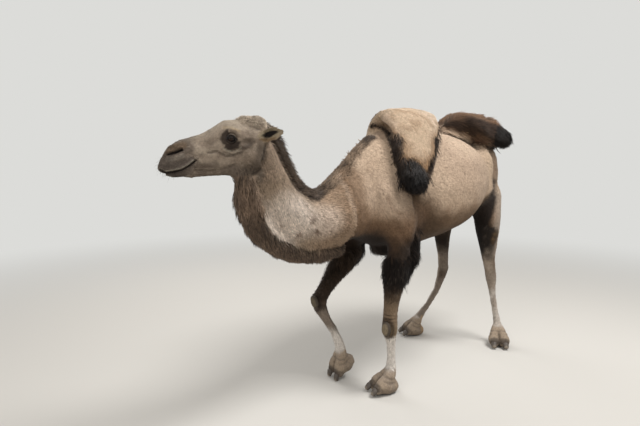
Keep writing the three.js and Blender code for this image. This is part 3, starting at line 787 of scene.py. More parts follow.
def markBody(q, normals):
    x, y, z = q.T
    side = q[:, 1:]
    big, small, fineSpot = blotches(q, 230, 1), blotches(q, 70, 2), blotches(q, 22, 4)
    uneven = side + 12 * small[:, None]
    armLine = z - 1115 - 0.33 * (y + 734) + 30 * small
    before = smooth(y, -330, -430)
    upTo = np.where(x > 0, 1430, 1340)
    c = layers(
        "tan",
        ("paleTan", 0.45 + 0.5 * big),
        ("barrel", 0.8 * ball(q, (0, 100, 1560), (900, 560, 420))),
        ("quarters", 0.7 * smooth(y, 420, 640) * smooth(z, 1100, 1250)),
        # painted top light: the top of the barrel paler, as if lit from above
        ("barrelTopLight", 0.6 * smooth(z + 25 * big, 1540, 1690) * smooth(y, -120, 60)),
        # the belly browner lower down, partly its own colour and partly painted shade
        ("bellyBrownAndShade", 0.85 * smooth(z + 40 * small + 25 * big, 1330, 1130)),
        ("underBellyBrownAndShade", 0.9 * smooth(z + 25 * small, 1160, 1030)),
        # painted shade on the faces that turn downwards
        ("underBellyBrownAndShade", 0.7 * smooth(-normals[:, 2], 0.25, 0.8) * smooth(z, 1300, 1200)),
        ("shoulder", 0.85 * ball(q * (0.4, 1, 1), (0, -655, 1350), (500, 230, 230))),
        # painted shade in the folds before the shoulder
        ("shoulderFoldShade", 0.75 * nearLine(
            uneven, [(-870, 1480), (-885, 1300), (-870, 1170), (-760, 1110)], 95, 15)),
        # painted shade in the armpit behind the shoulder, and along the furrows there
        ("armpitShade", 0.9 * within(side + 10 * small[:, None], armpitShade, 85)),
        ("armpitShade", 0.6 * nearLine(uneven, [(-500, 1420), (-470, 1290), (-440, 1150)], 60, 5)),
        ("armpitShade", 0.7 * nearLine(side, [(-500, 1400), (-495, 1319), (-503, 1222), (-495, 1110)], 15, 2)),
        # painted shade along the fold under the point of the shoulder
        ("shoulderFoldShade", 0.4 * nearLine(
            uneven, [(-700, 1330), (-668, 1262), (-640, 1232), (-600, 1238)], 22, 2)),
        # below the line of the arm the shoulder darkens: browner hair and painted shade
        ("upperArmBrownAndShade", 0.72 * smooth(armLine, 130, 0) * before),
        # the chest and the underside between the forelegs near black: dark hair and painted shade
        ("chest", 0.92 * smooth(armLine + 75 * smooth(x, 170, 250), 45, -100) * before),
        ("chest", 0.95 * smooth(np.abs(x), 190, 90) * smooth(z, 1150, 1060) * smooth(y, -250, -420)),
        # thighs: grey-beige outside; painted shade behind the fold of the flank and along it, and nearly
        # black painted shade on the front of the thigh and between the hind legs
        ("thigh", 0.8 * smooth(z, 1420, 1250) * smooth(y, 500, 600)),
        ("foldShade", 0.7 * within(side, behindFold, 24) * smooth(np.abs(x), 120, 200)),
        ("foldShade", 0.6 * nearLine(side, moved(fold, 8, -5), 34, 4)),
        ("thighFrontShade", 0.97 * within(side + 6 * small[:, None], thighShade, 20) * smooth(z - upTo, 30, -30)),
        ("thighFrontShade", 0.95 * smooth(y, 430, 520) * smooth(np.abs(x - 40), 190, 110) * smooth(z, 1200, 1100)))
    n = layers("neckBase", ("neck", smooth(y, -1120, -1330) * 0.9))
    patch = smooth(big, -1.1, -0.2)
    wrinkles = smooth(np.sin(y / 21 + 2 * blotches(q * (1, 1, 0.25), 90, 7)), 0.2, 0.9)
    for across in (160, -90):  # the pale patch on each side of the neck
        n = layers(
            n,
            ("neckPale", 0.95 * ball(q, (across, -1470, 1250), (270, 280, 230)) * patch),
            ("neckPale", 0.4 * ball(q, (across, -1190, 1220), (270, 220, 150))))
    n = layers(
        n,
        ("neckShade", 0.7 * smooth(y, -1560, -1650) * smooth(small, -0.4, 0.4)),
        ("neckTop", 0.8 * smooth(z + 30 * small, 1440, 1530)),
        ("neckSpot", 0.8 * smooth(small + 0.4 * fineSpot, 0.62, 0.95) * smooth(z, 1330, 1200)),
        # painted shade in the fine wrinkles at the base of the neck
        ("shoulderFoldShade", 0.55 * wrinkles * smooth(y, -1080, -960)))
    for *spot, wide in (
            (120, -1366, 1162, 30), (129, -1486, 1153, 20), (149, -1250, 1165, 26), (135, -1300, 1120, 14)):
        away = np.linalg.norm(q - spot, axis=1) + 9 * fineSpot
        n = layers(n, ("neckSpot", 0.75 * smooth(away, wide, wide * 0.4)))
    c = np.where(isPart("neck", "throat_mane")[:, None], n, c)
    frontFold = np.array([(-925, 1500), (-930, 1330), (-905, 1200), (-835, 1100)])
    # a painted highlight just before the furrow in front of the shoulder, and painted shade in the furrow
    c = layers(
        c,
        ("neckPale", 0.1 * nearLine(side, frontFold[:3] - (26, 0), 28, 2)),
        ("shoulderFoldShade", 0.6 * nearLine(side, frontFold + (6, 0), 30, 2)))
    pad = paints["callus"] * (1 + 0.25 * fineSpot)[:, None]
    return np.where(isPart("chest")[:, None], pad, c)


def markLegs(c, q, normals):
    x, y, z = q.T
    small, fineSpot = blotches(q, 60, 6), blotches(q, 18, 9)
    for leg in legs:
        if leg == "fore_left":
            k = layers(
                "foreArm",
                ("upperArmBrownAndShade", 0.5 * smooth(z + 25 * small, 960, 1010)),
                ("foreArmLow", 0.55 * smooth(z + 30 * small, 820, 700)),
                ("foreArmTan", smooth(z + 22 * small, 735, 600)),
                ("knee", 0.8 * smooth(z, 520, 480)),
                ("cannon", smooth(z + 8 * small, 425, 385)))
        elif leg == "fore_right":
            k = layers(
                "rightArm",
                ("upperArmBrownAndShade", 0.25 * smooth(small, 0, 1)),
                # painted shade on the faces that turn forwards
                ("thighFrontShade", 0.6 * smooth(z, 660, 600) * smooth(normals[:, 1], -0.2, -0.7)),
                ("hindInnerLow", 0.85 * smooth(z + 20 * small, 590, 480)),
                ("cannon", smooth(z + 12 * small, 420, 320)))
        elif leg == "hind_left":
            front = np.maximum(smooth(normals[:, 1], 0.1, -0.45), within(q[:, 1:], thighShade, 20))
            inner = smooth(x, 300, 250) * smooth(z + 30 * small, 740, 860)
            k = layers(
                "thigh",
                # painted shade on the front and the inner side of the thigh
                ("thighFrontShade", 0.97 * front * smooth(z + 45 * small, 700, 900)),
                ("thighFrontShade", 0.9 * inner * smooth(normals[:, 1], 0.5, -0.1)),
                ("foreArmTan", 0.75 * nearLine(q[:, 1:], [(700, 760), (790, 640)], 60, 10)),
                ("hock", 0.8 * smooth(z, 660, 590)),
                ("hindCannon", 0.9 * smooth(z + 10 * small, 500, 420)),
                ("foldShade", 0.45 * smooth(small, 0.1, 0.7) * smooth(z, 760, 600)))
        else:
            k = layers(
                "hindInner",
                # painted shade on the faces that turn forwards
                ("thighFrontShade", 0.8 * smooth(z + 30 * small, 1000, 900) * smooth(normals[:, 1], 0.3, -0.3)),
                ("hindInnerLow", smooth(z + 20 * small, 860, 700)),
                ("hindInner", 0.7 * smooth(z, 620, 560) * smooth(z, 480, 540)),
                ("hock", 0.6 * smooth(z, 480, 380)))
            outer = layers(
                "thigh",
                # painted shade on the faces that turn forwards
                ("thighFrontShade", 0.97 * smooth(normals[:, 1], 0.0, -0.5) * smooth(z + 45 * small, 700, 900)),
                ("hock", 0.8 * smooth(z, 660, 590)),
                ("hindCannon", 0.9 * smooth(z + 10 * small, 500, 420)))
            k = towards(outer, k, smooth(normals[:, 0] + 0.1 * small, -0.5, 0.05))
        k = layers(k, ("hock", 0.12 * smooth(fineSpot, 0.3, 0.9)))
        c = np.where(isPart("leg_" + leg)[:, None], k, c)
        f = toFoot(q, leg)
        shank = "cannon" if leg.startswith("fore") else "hindCannon"
        k = layers(
            "foot",
            (shank, 0.8 * smooth(f[:, 2], -5, 22)),
            ("hock", 0.5 * smooth(small, -0.2, 0.8)),
            ("toeDark", 0.35 * smooth(f[:, 2] + 12 * fineSpot, -62, -110)),
            ("toeDark", 0.9 * smooth(f[:, 1], -104, -132) * smooth(f[:, 2], -118, -100)))
        # painted shade in the folds of the toes
        for fold in toeFolds:
            k = layers(k, ("toeDark", 0.4 * bell(lineDistance(f[:, 1:], fold), 9)))
        k = layers(
            k,
            # painted shade in the cleft between the toes
            ("sole", 0.85 * bell(f[:, 0], 9) * smooth(f[:, 1], -50, -95)),
            ("sole", 0.9 * smooth(f[:, 2], -128, -143)))
        if leg == "hind_right":
            k = layers(k, ("heel", 0.7 * smooth(f[:, 1], -20, 30)))
        c = np.where(isPart("foot_" + leg)[:, None], k, c)
    # the bare callus of the stifle, the rims of the knee pads, and painted shade in the grooves of the ringed
    # skin above them
    callus = smooth(np.linalg.norm((q - (356, 590, 965)) / (66, 48, 84), axis=1) + 0.15 * small, 1.0, 0.75)
    inCallus = smooth(np.linalg.norm((q - (360, 588, 955)) / (66, 46, 76), axis=1), 1.0, 0.6)
    c = layers(
        c,
        ("stifle", 0.8 * callus),
        ("stifleSkin", inCallus * (0.6 + 0.4 * np.sin(z / 7 + 3 * small))))
    for pad in ((230, -685, 465), (-247, -880, 590)):
        r = np.linalg.norm((q - np.array(pad)) / (1, 1, 1.4), axis=1)
        rings = ball(q, np.array(pad) + (0, -5, 68), (80, 90, 60))
        c = layers(
            c,
            ("stifle", 0.75 * bell(r - 47, 9)),
            ("stifle", 0.8 * rings * smooth(-np.sin(z / 3.6), 0.1, 0.9)))
    return c


templeHollowShade = [(-98, -41), (-68, -18), (-38, -14), (-23, -22), (-44, -40), (-68, -55), (-98, -70)]
darkBeforeEye = [(-192, 6), (-170, 26), (-160, 8), (-164, -18), (-172, -38), (-186, -41), (-199, -19)]
darkBelowEye = [(-179, -63), (-150, -78), (-116, -58), (-103, -33), (-120, -36), (-150, -44), (-172, -44)]


def markHead(c, q, normals):
    h = toHead(q)
    x, y, z = np.abs(h[:, 0]), h[:, 1], h[:, 2]
    flat = h[:, 1:]
    small, fineSpot = blotches(q, 40, 13), blotches(q, 12, 14)
    byCheek = (area(flat, cheekSide, 6) > 0.4) & (x < 140)
    mine = isPart("head", "crown") | (isPart("throat_mane", "neck") & byCheek)
    side = smooth(x, 25, 45)

    def near(path, wide, core=0.0):  # 1 on a line on the side of the face, 0 beyond its width
        return nearLine(flat + 2.5 * small[:, None], path, wide, core)

    gapWidth = 3.4 + 2.4 * smooth(y, -380, -450)
    gap = bell(lineDistance(flat, moved(mouthLine, 2, -5)), gapWidth)
    _, above, away, opening = aroundLids(h)
    k = layers(
        "head",
        ("crown", 0.75 * smooth(z + 12 * small, 25, 75) * smooth(y, -230, -120)),
        # painted top light on the bridge of the nose, where it faces upwards
        ("noseTopLight", 0.8 * smooth(normals[:, 2], 0.35, 0.8) * smooth(y, -430, -380)),
        ("cheek", 0.6 * ball(h * (0.3, 1, 1), (0, -70, -110), (80, 110, 80))),
        ("jawShade", 0.55 * smooth(z + 10 * small, -120, -185) * smooth(y, -380, -300)),
        ("muzzle", 0.75 * smooth(y + 24 * small, -310, -390)),
        ("temple", 0.3 * smooth(small, 0.1, 0.8)),
        ("crown", 0.3 * smooth(fineSpot, 0.3, 0.9)),
        # the muzzle: brown wings, painted shade in the nostril slits, in the gap of the mouth and on the
        # lower lip under the overhang, pale-edged lips
        ("nostrilWing", 0.9 * near([(-480, -80), (-450, -66), (-418, -54), (-392, -50)], 30, 8)),
        ("lipEdge", 0.15 * near([(-470, -124), (-430, -118), (-395, -104)], 16, 4)),
        ("lip", 0.8 * near([(-480, -165), (-405, -150), (-350, -122)], 34, 6)),
        # painted shade on the lower lip under the overhanging upper lip, most at the front
        ("lowerLip", area(flat, lowerLip, 6) * (0.45 + 0.5 * smooth(y, -370, -440))),
        ("lipEdge", 0.55 * bell(lineDistance(flat, moved(mouthLine, -1, 6)), 2.9)),
        ("lipEdge", 0.3 * bell(lineDistance(flat, lowerLip[1:5]), 3.2)),
        # painted shade in the gap of the mouth and in the nostrils; at the wart, its own dark
        ("slit", (0.75 + 0.5 * smooth(y, -360, -420)) * gap),
        ("slit", 1.1 * area(flat, nostril, 3)),
        ("slit", 0.8 * near([(-306, -96), (-298, -93)], 8, 3)),
        # painted shadow in the folds, in the hollow of the temple and under the cheekbone, painted highlights
        # on the ridges and along the bridge, and the dark skin round the eye
        ("temple", side * 0.5 * area(flat + 3 * small[:, None], templeHollowShade, 14)),
        ("temple", side * 0.6 * near([(-106, -66), (-84, -58), (-64, -46), (-30, -34)], 15, 3)),
        ("temple", side * 0.5 * near([(-110, -92), (-75, -66), (-45, -50)], 18, 4)),
        ("jawShade", side * 0.5 * near(
            [(10, -60), (4, -110), (-20, -155), (-60, -185), (-140, -192)], 42, 8)),
        # painted highlights on the cheek, along the ridges above the jaw and under the eye, and along the
        # bridge of the nose
        ("crown", side * 0.45 * ball(h * (0.3, 1, 1), (0, -205, -45), (80, 60, 34))),
        ("crown", side * 0.4 * near([(-300, -128), (-240, -140), (-170, -135)], 26, 5)),
        ("crown", side * 0.75 * near([(-322, -74), (-280, -82), (-240, -94)], 30, 4)),
        ("crown", side * 0.5 * near([(-330, -30), (-250, 10), (-200, 40)], 34, 6)),
        ("lowerLip", 0.55 * near([(-505, -160), (-486, -140), (-476, -120)], 44, 12)),
        ("jawShade", side * 0.5 * near([(-300, -158), (-262, -156), (-230, -146)], 26, 6)))
    for fold in (
            [(-187, -86), (-143, -101), (-98, -86)],
            [(-268, -86), (-216, -82), (-172, -107), (-128, -101)],
            [(-328, -180), (-262, -189), (-218, -183), (-174, -168), (-130, -150)],
            [(-340, -112), (-322, -134), (-332, -162)]):
        # painted shade in each fold, and a painted highlight along its upper edge
        k = layers(
            k,
            ("jawShade", side * 0.75 * near(fold, 11, 2)),
            ("crown", side * 0.35 * near(moved(fold, 0, 11), 9, 1)))
    k = layers(
        k,
        ("eyeDark", side * 0.9 * area(flat + 2 * small[:, None], darkBeforeEye, 9)),
        ("eyeDark", side * 0.95 * area(flat + 2 * small[:, None], darkBelowEye, 8)),
        # painted highlights on the ridge of the fold below the eye and on the brow ridge
        ("underEyeRidgeLight", side * 0.7 * near([(-188, -64), (-166, -80), (-128, -84), (-96, -58)], 6, 1)),
        ("browRidgeLight", side * 0.5 * near([(-184, 40), (-148, 40), (-110, 24)], 12, 3)),
        ("lidSkin", side * 0.65 * smooth(away, 38, 26)),
        ("eyeDark", side * 0.9 * smooth(away, 36, 26) * smooth(above, 6, -8)),
        ("lidEdge", side * smooth(opening, 1.34, 1.16)),
        # painted shade in the crease between the cheek and the throat
        ("creaseShade", 0.7 * nearLine(flat, moved(jawBack, 14, -6), 12, 3)))
    c = np.where(mine[:, None], k, c)
    # painted shade behind the jaw, on the neck
    behindJaw = layers(c, ("creaseShade", 0.55 * nearLine(flat, jawBack, 26, 6)))
    c = np.where((isPart("neck") & (y > -60))[:, None], behindJaw, c)
    # ears: painted shade in the depth of the cup, an ochre lobe, a pale rim
    k = np.tile(paints["earBack"], (len(q), 1))
    for side in (1, -1):
        out, a, t, b, high = earFrame(h, side)
        own = h[:, 0] * side > 0
        inner = smooth(np.abs(b) / high, 1.0, 0.8) * own * smooth(normals @ (headTurn @ out), -0.2, 0.25)
        depth = np.hypot((a - 0.4) / 0.42, (b / high - 0.12 - 0.2 * a) / (0.62 - 0.3 * a))
        depth = depth + 0.16 * blotches(np.stack([a * 30, b, t], 1), 9, 17, 2)
        k = layers(
            k,
            ("earHair", inner * 0.9),
            ("earLobe", inner * smooth(b / high, -0.15, -0.5) * smooth(a, 0.72, 0.5)),
            ("earCupShade", inner * smooth(depth, 1.0, 0.6)),
            ("earRim", own * smooth(np.abs(b) / high, 0.8, 0.95) * smooth(a, 0.1, 0.3)),
            ("neckSpot", 0.75 * own * smooth(b / high, 0.78, 0.98) * smooth(a, 0.2, 0.45)))
    return np.where(isPart("ear")[:, None], k, c)


def markHumps(c, q):
    x, y, z = q.T
    big, small = blotches(q, 150, 21), blotches(q * (1, 1, 0.4), 50, 22)
    k = layers(
        "humpTop",
        ("humpPale", 0.8 * smooth(y + 0.3 * (1900 - z) + 40 * big, -330, -180)),
        ("humpEdge", 0.4 * smooth(small, 0.1, 0.8)),
        ("humpEdge", 0.75 * smooth(z + 40 * small, 1650, 1540)))
    c = np.where(isPart("hump_front")[:, None], k, c)
    bandFoot = np.interp(y, [240, 300, 380, 440, 520, 600, 700], [1838, 1822, 1812, 1792, 1765, 1742, 1712])
    under = smooth(z - bandFoot + 10 * small, 4, -12)
    k = layers(
        "rearHump",
        # painted shade on the rear hump's flank below its overhanging crest
        ("rearHumpShade", 0.96 * within(q[:, 1:] + 10 * small[:, None], rearShade, 18)),
        ("paleTan", 0.9 * under * smooth(y, 540, 440)),
        ("foldShade", 0.8 * under * smooth(y, 500, 580)),
        ("rearCrest", 0.9 * smooth(z + 20 * small + 0.12 * (y - 400), 1900, 1932)))
    c = np.where(isPart("hump_rear")[:, None], k, c)
    return np.where(isPart("tail")[:, None], paints["tail"], c)


# Where long hair grows: on the skin that is drawn in under each solid of hair.
# "lean" is how far the locks stand off the skin, lie along it and hang, in that order.
hair = {
    "throat_mane": {
        "count": 7000, "length": 105, "width": 6, "lean": (0.5, 0.75, 0.45), "colour": "beard"},
    "nape_mane": {
        "count": 4200, "length": 75, "width": 5.5, "lean": (0.6, 0.8, 0.0), "colour": "nape"},
    "crown_tuft": {
        "count": 1600, "length": 28, "width": 2.8, "lean": (0.8, 0.7, 0.0), "colour": "crown"},
    "hump_front_tip": {
        "count": 2300, "length": 105, "width": 6, "lean": (0.65, 0.25, 0.6), "colour": "tipHair"},
    "hump_front_fringe_fore": {
        "count": 2600, "length": 62, "width": 5, "lean": (0.55, 0.3, 0.6), "colour": "longHair"},
    "hump_front_fringe_rear": {
        "count": 2000, "length": 62, "width": 5, "lean": (0.55, 0.3, 0.6), "colour": "longHair"},
    "hump_rear_tip": {
        "count": 2400, "length": 125, "width": 6, "lean": (0.65, 0.45, 0.6), "colour": "tipHair"},
    "hump_rear_crest": {
        "count": 2400, "length": 70, "width": 5.5, "lean": (0.45, 0.9, 0.0), "colour": "rearCrest"},
    "elbow_hair_left": {
        "count": 1700, "length": 95, "width": 5.5, "lean": (0.6, 0.3, 0.7), "colour": "foreArm"},
    "elbow_hair_right": {
        "count": 1300, "length": 65, "width": 5.5, "lean": (0.5, 0.3, 0.7), "colour": "foreArm"},
    "tail_tuft": {
        "count": 1000, "length": 80, "width": 5, "lean": (0.25, 0.3, 0.9), "colour": "longHair"},
}
points = vertexArray(skin.data)
normals = normalArray(skin.data)
spots = layout(points)
web = Web(skin.data)
solids, near = {}, {}
for node in hair:
    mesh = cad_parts[node].data
    mesh.calc_loop_triangles()
    solids[node] = BVHTree.FromPolygons(
        [v.co for v in mesh.vertices], [t.vertices for t in mesh.loop_triangles])
    near[node] = web.relax(isPart(node).astype(float), 0.5, 3)
# The throat's hair starts below and behind the jaw.
h = toHead(spots)
onCheek = area(h[:, 1:], [*jawBack, (-600, -225), (-600, 140), (60, 140)], 10)
onCheek = onCheek * (np.abs(h[:, 0]) < 140) * (h[:, 1] < 60)
uneven = spots[:, 1:] + 14 * blotches(spots, 60, 24)[:, None]
near["throat_mane"] *= (1 - onCheek) * within(uneven, beardZone, 22)
# The fore fringe runs on along the lower edge of the fold, up to the middle of the back.
byFold = smooth(lineDistance(spots, fringeTop) / (0.4 + 0.6 * smooth(spots[:, 0], -60, 120)), 28, 10)
narrow = smooth(near["hump_front_fringe_fore"], 0.3, 0.9) * smooth(spots[:, 2], 1775, 1700)
near["hump_front_fringe_fore"] = np.maximum(narrow, byFold)
near["hump_front_fringe_rear"] = smooth(web.relax(near["hump_front_fringe_rear"], 0.5, 12), 0.06, 0.34)
byTip = ball(spots, (335, -575, 1495), (115, 115, 130))
byTip = byTip * isPart("hump_front", "hump_front_fringe_fore", "hump_front_tip")
near["hump_front_tip"] = np.maximum(near["hump_front_tip"], byTip)
colours = markLegs(markBody(spots, normals), spots, normals)
colours = markHead(colours, spots, normals)
colours = markHumps(colours, spots)
hairNoise = blotches(spots, 90, 31)
onWithers = smooth(spots[:, 1], -1230, -1080)
for node, lock in hair.items():
    share = near[node] + 0.5 * web.relax(near[node], 0.5, 10)
    if node.startswith("hump_front"):  # brown wisps lead into the dark fringe
        wisps = web.relax(near[node], 0.5, 45) * (1 + 0.4 * hairNoise)
        colours = layers(colours, ("humpEdge", 0.75 * smooth(wisps, 0.02, 0.35) * ~isPart("trunk")))
    share = smooth(share + 0.18 * hairNoise, 0.15, 0.85)
    if node == "nape_mane":
        share *= 1 - onWithers * smooth(normals[:, 2], 0.75, 0.35)
        colours = layers(colours, ("crest", 0.6 * share))
        share *= 1 - 0.6 * onWithers * smooth(hairNoise, -0.8, 0.6)
    colours = layers(colours, (lock["colour"], share))
    if node == "throat_mane":
        colours = layers(colours, ("beardHigh", near[node] * 0.6 * smooth(hairNoise, 0.0, 0.8)))
byBeard = lineDistance(spots[:, 1:] + 8 * blotches(spots, 60, 24)[:, None], beardEdge[4:])
colours = layers(
    colours,
    ("tipHair", 0.97 * smooth(byTip, 0.02, 0.4)),
    # painted shade where the neck's underside meets the beard
    ("creaseShade", 0.85 * smooth(byBeard, 30, 8) * isPart("neck", "throat_mane")))
colours = np.clip(colours, 0.004, 1)
paint(skin.data, colours)
print("skin marked")

# An unwrap of the skin, which also places each tuft's patch of the map that its colours are baked to.
startEdit(skin)
bpy.ops.uv.smart_project(angle_limit=1.15, island_margin=0.002)
endEdit()
skin.data.uv_layers[0].name = "OFBake"
print("skin unwrapped")


def varied(tree, surface, pattern, low, high, contrast):  # the markings, lighter and darker by a pattern
    marks = addNode(tree, "ShaderNodeAttribute", attribute_name="markings")
    light = addNode(
        tree, "ShaderNodeMapRange", {"Value": pattern},
        inputs={"From Min": low, "From Max": high, "To Min": 1 - contrast, "To Max": 1 + contrast})
    shaded = addNode(
        tree, "ShaderNodeVectorMath", {0: marks.outputs["Color"], "Scale": light.outputs[0]},
        operation="SCALE")
    tree.links.new(shaded.outputs[0], surface.inputs["Base Color"])


def coatMaterial(name, grain, contrast, roughness, bump, gloss=0.12, sheen=0.05):
    # Hair over hide: the markings, broken up by specks as wide as a clump of hairs (grain, in millimetres).
    material, tree, surface = newMaterial(
        name, Roughness=roughness, Sheen_Weight=sheen, Sheen_Roughness=0.6, Specular_IOR_Level=gloss)
    where = addNode(tree, "ShaderNodeTexCoord")
    specks = addNode(
        tree, "ShaderNodeTexNoise", {"Vector": where.outputs["Object"]},
        inputs={"Scale": 1000 / grain / 2, "Detail": 4.0, "Roughness": 0.65})
    wide = addNode(
        tree, "ShaderNodeTexNoise", {"Vector": where.outputs["Object"]},
        inputs={"Scale": 250 / grain, "Detail": 3.0})
    both = addNode(
        tree, "ShaderNodeMath", {0: specks.outputs["Fac"], 1: wide.outputs["Fac"]}, operation="ADD")
    varied(tree, surface, both.outputs[0], 0.65, 1.35, contrast)
    rough = addNode(
        tree, "ShaderNodeMapRange", {"Value": specks.outputs["Fac"]},
        inputs={"To Min": roughness - 0.08, "To Max": roughness + 0.08})
    tree.links.new(rough.outputs[0], surface.inputs["Roughness"])
    if bump:
        dent = addNode(
            tree, "ShaderNodeBump", {"Height": both.outputs[0]},
            inputs={"Strength": bump, "Distance": grain / 1000})
        tree.links.new(dent.outputs[0], surface.inputs["Normal"])
    return material


hideMaterial = coatMaterial("short_summer_coat_over_hide", 4, 0.25, 0.85, 0.3)  # dull, finely mottled
tuftMaterial = coatMaterial("short_wool_tufts", 4, 0.25, 0.85, 0)  # soft, hardly any gloss
lockMaterial = coatMaterial("long_guard_hair", 5, 0.28, 0.52, 0, 0.14, 0.015)  # coarser, with a slight shine
faceMaterial = coatMaterial("close_velvet_coat_of_the_face", 3, 0.16, 0.8, 0)  # very short and even
skin.data.materials.append(hideMaterial)
finish(skin, "coat", *fleshNodes)

# The skin's triangles, on which the tufts grow.
skin.data.calc_loop_triangles()
faceCorners = readAll(skin.data.loop_triangles, "vertices", 3, int)
faceLoops = readAll(skin.data.loop_triangles, "loops", 3, int)
faceMap = readAll(skin.data.uv_layers["OFBake"].data, "uv", 2)[faceLoops]
faceArea = triangleAreas(points[faceCorners])
neckAxis = np.array([(95, -1725, 1690), (115, -1660, 1650), (90, -1570, 1520), (50, -1430, 1330),
                     (15, -1160, 1220), (0, -850, 1310), (0, -520, 1420)], float)


def rootsOn(count, share):  # roots spread evenly over the skin, as thickly as share says
    total = np.cumsum(faceArea * share[faceCorners].mean(1))
    chosen = np.searchsorted(total, (np.arange(count) + chance.random(count)) / count * total[-1])
    chosen = np.minimum(chosen, len(total) - 1)
    u, v = cornerShares(count)
    w = np.stack([1 - u - v, u, v], 1)[:, :, None]
    corners = faceCorners[chosen]
    facing = unit((normals[corners] * w).sum(1))
    return {
        "at": (points[corners] * w).sum(1),
        "normal": facing,
        "skin": facing,
        "colour": (colours[corners] * w).sum(1),
        "map": (faceMap[chosen] * w).sum(1),
        "owner": owner[corners[:, 0]],
        "size": count,
    }


def lieOfCoat(roots):  # the way the hair lies on the skin
    q = layout(roots["at"])
    best = np.full(len(q), 1e9)
    toBody = np.zeros((len(q), 3))  # down the neck, towards the body
    for a, b in zip(neckAxis[:-1], neckAxis[1:]):
        t = np.clip((q - a) @ (b - a) / ((b - a) @ (b - a)), 0, 1)
        far = np.linalg.norm(q - a - t[:, None] * (b - a), axis=1)
        toBody = np.where((far < best)[:, None], unit(b - a), toBody)
        best = np.minimum(best, far)
    name = np.array(kinds)[roots["owner"]]
    node = np.array(bodyNodes)[roots["owner"]]
    overFold = 0.75 * smooth(q[:, 2], 1650, 1850) + 0.15
    downFold = np.stack([overFold, np.full(len(q), 0.15), np.full(len(q), -0.9)], 1)
    way = np.tile((0.0, 0.72, -0.62), (roots["size"], 1))
    for here, direction in (
        ((name == "neck") | (node == "throat_mane"), toBody + (0, 0, -0.55)),
        (node == "nape_mane", toBody),
        (np.isin(name, ["head", "crown"]), headTurn @ (0.0, 1.0, -0.12)),
        (np.isin(name, ["leg", "foot"]), (0.0, 0.12, -1.0)),
        (np.isin(node, ["tail", "tail_tuft", "elbow_hair_left", "elbow_hair_right"]), (0.0, 0.1, -1.0)),
        (np.char.startswith(node, "hump_front"), downFold),
        (np.char.startswith(node, "hump_rear"), (0.45, 0.75, -0.35)),
        (node == "ear_left", headTurn @ (0.4, 0.9, 0.2)),
        (node == "ear_right", headTurn @ (-0.4, 0.9, 0.2)),
    ):
        way = np.where(here[:, None], direction, way)
    normal = roots["normal"]
    lie = way - normal * (way * normal).sum(1)[:, None]
    lie = unit(lie + 0.02 * np.cross(normal, way))
    swing = blotches(q, 160, 41, 2) * 0.3 + chance.normal(0, 0.13, len(q))
    return unit(lie * np.cos(swing)[:, None] + np.cross(normal, lie) * np.sin(swing)[:, None])


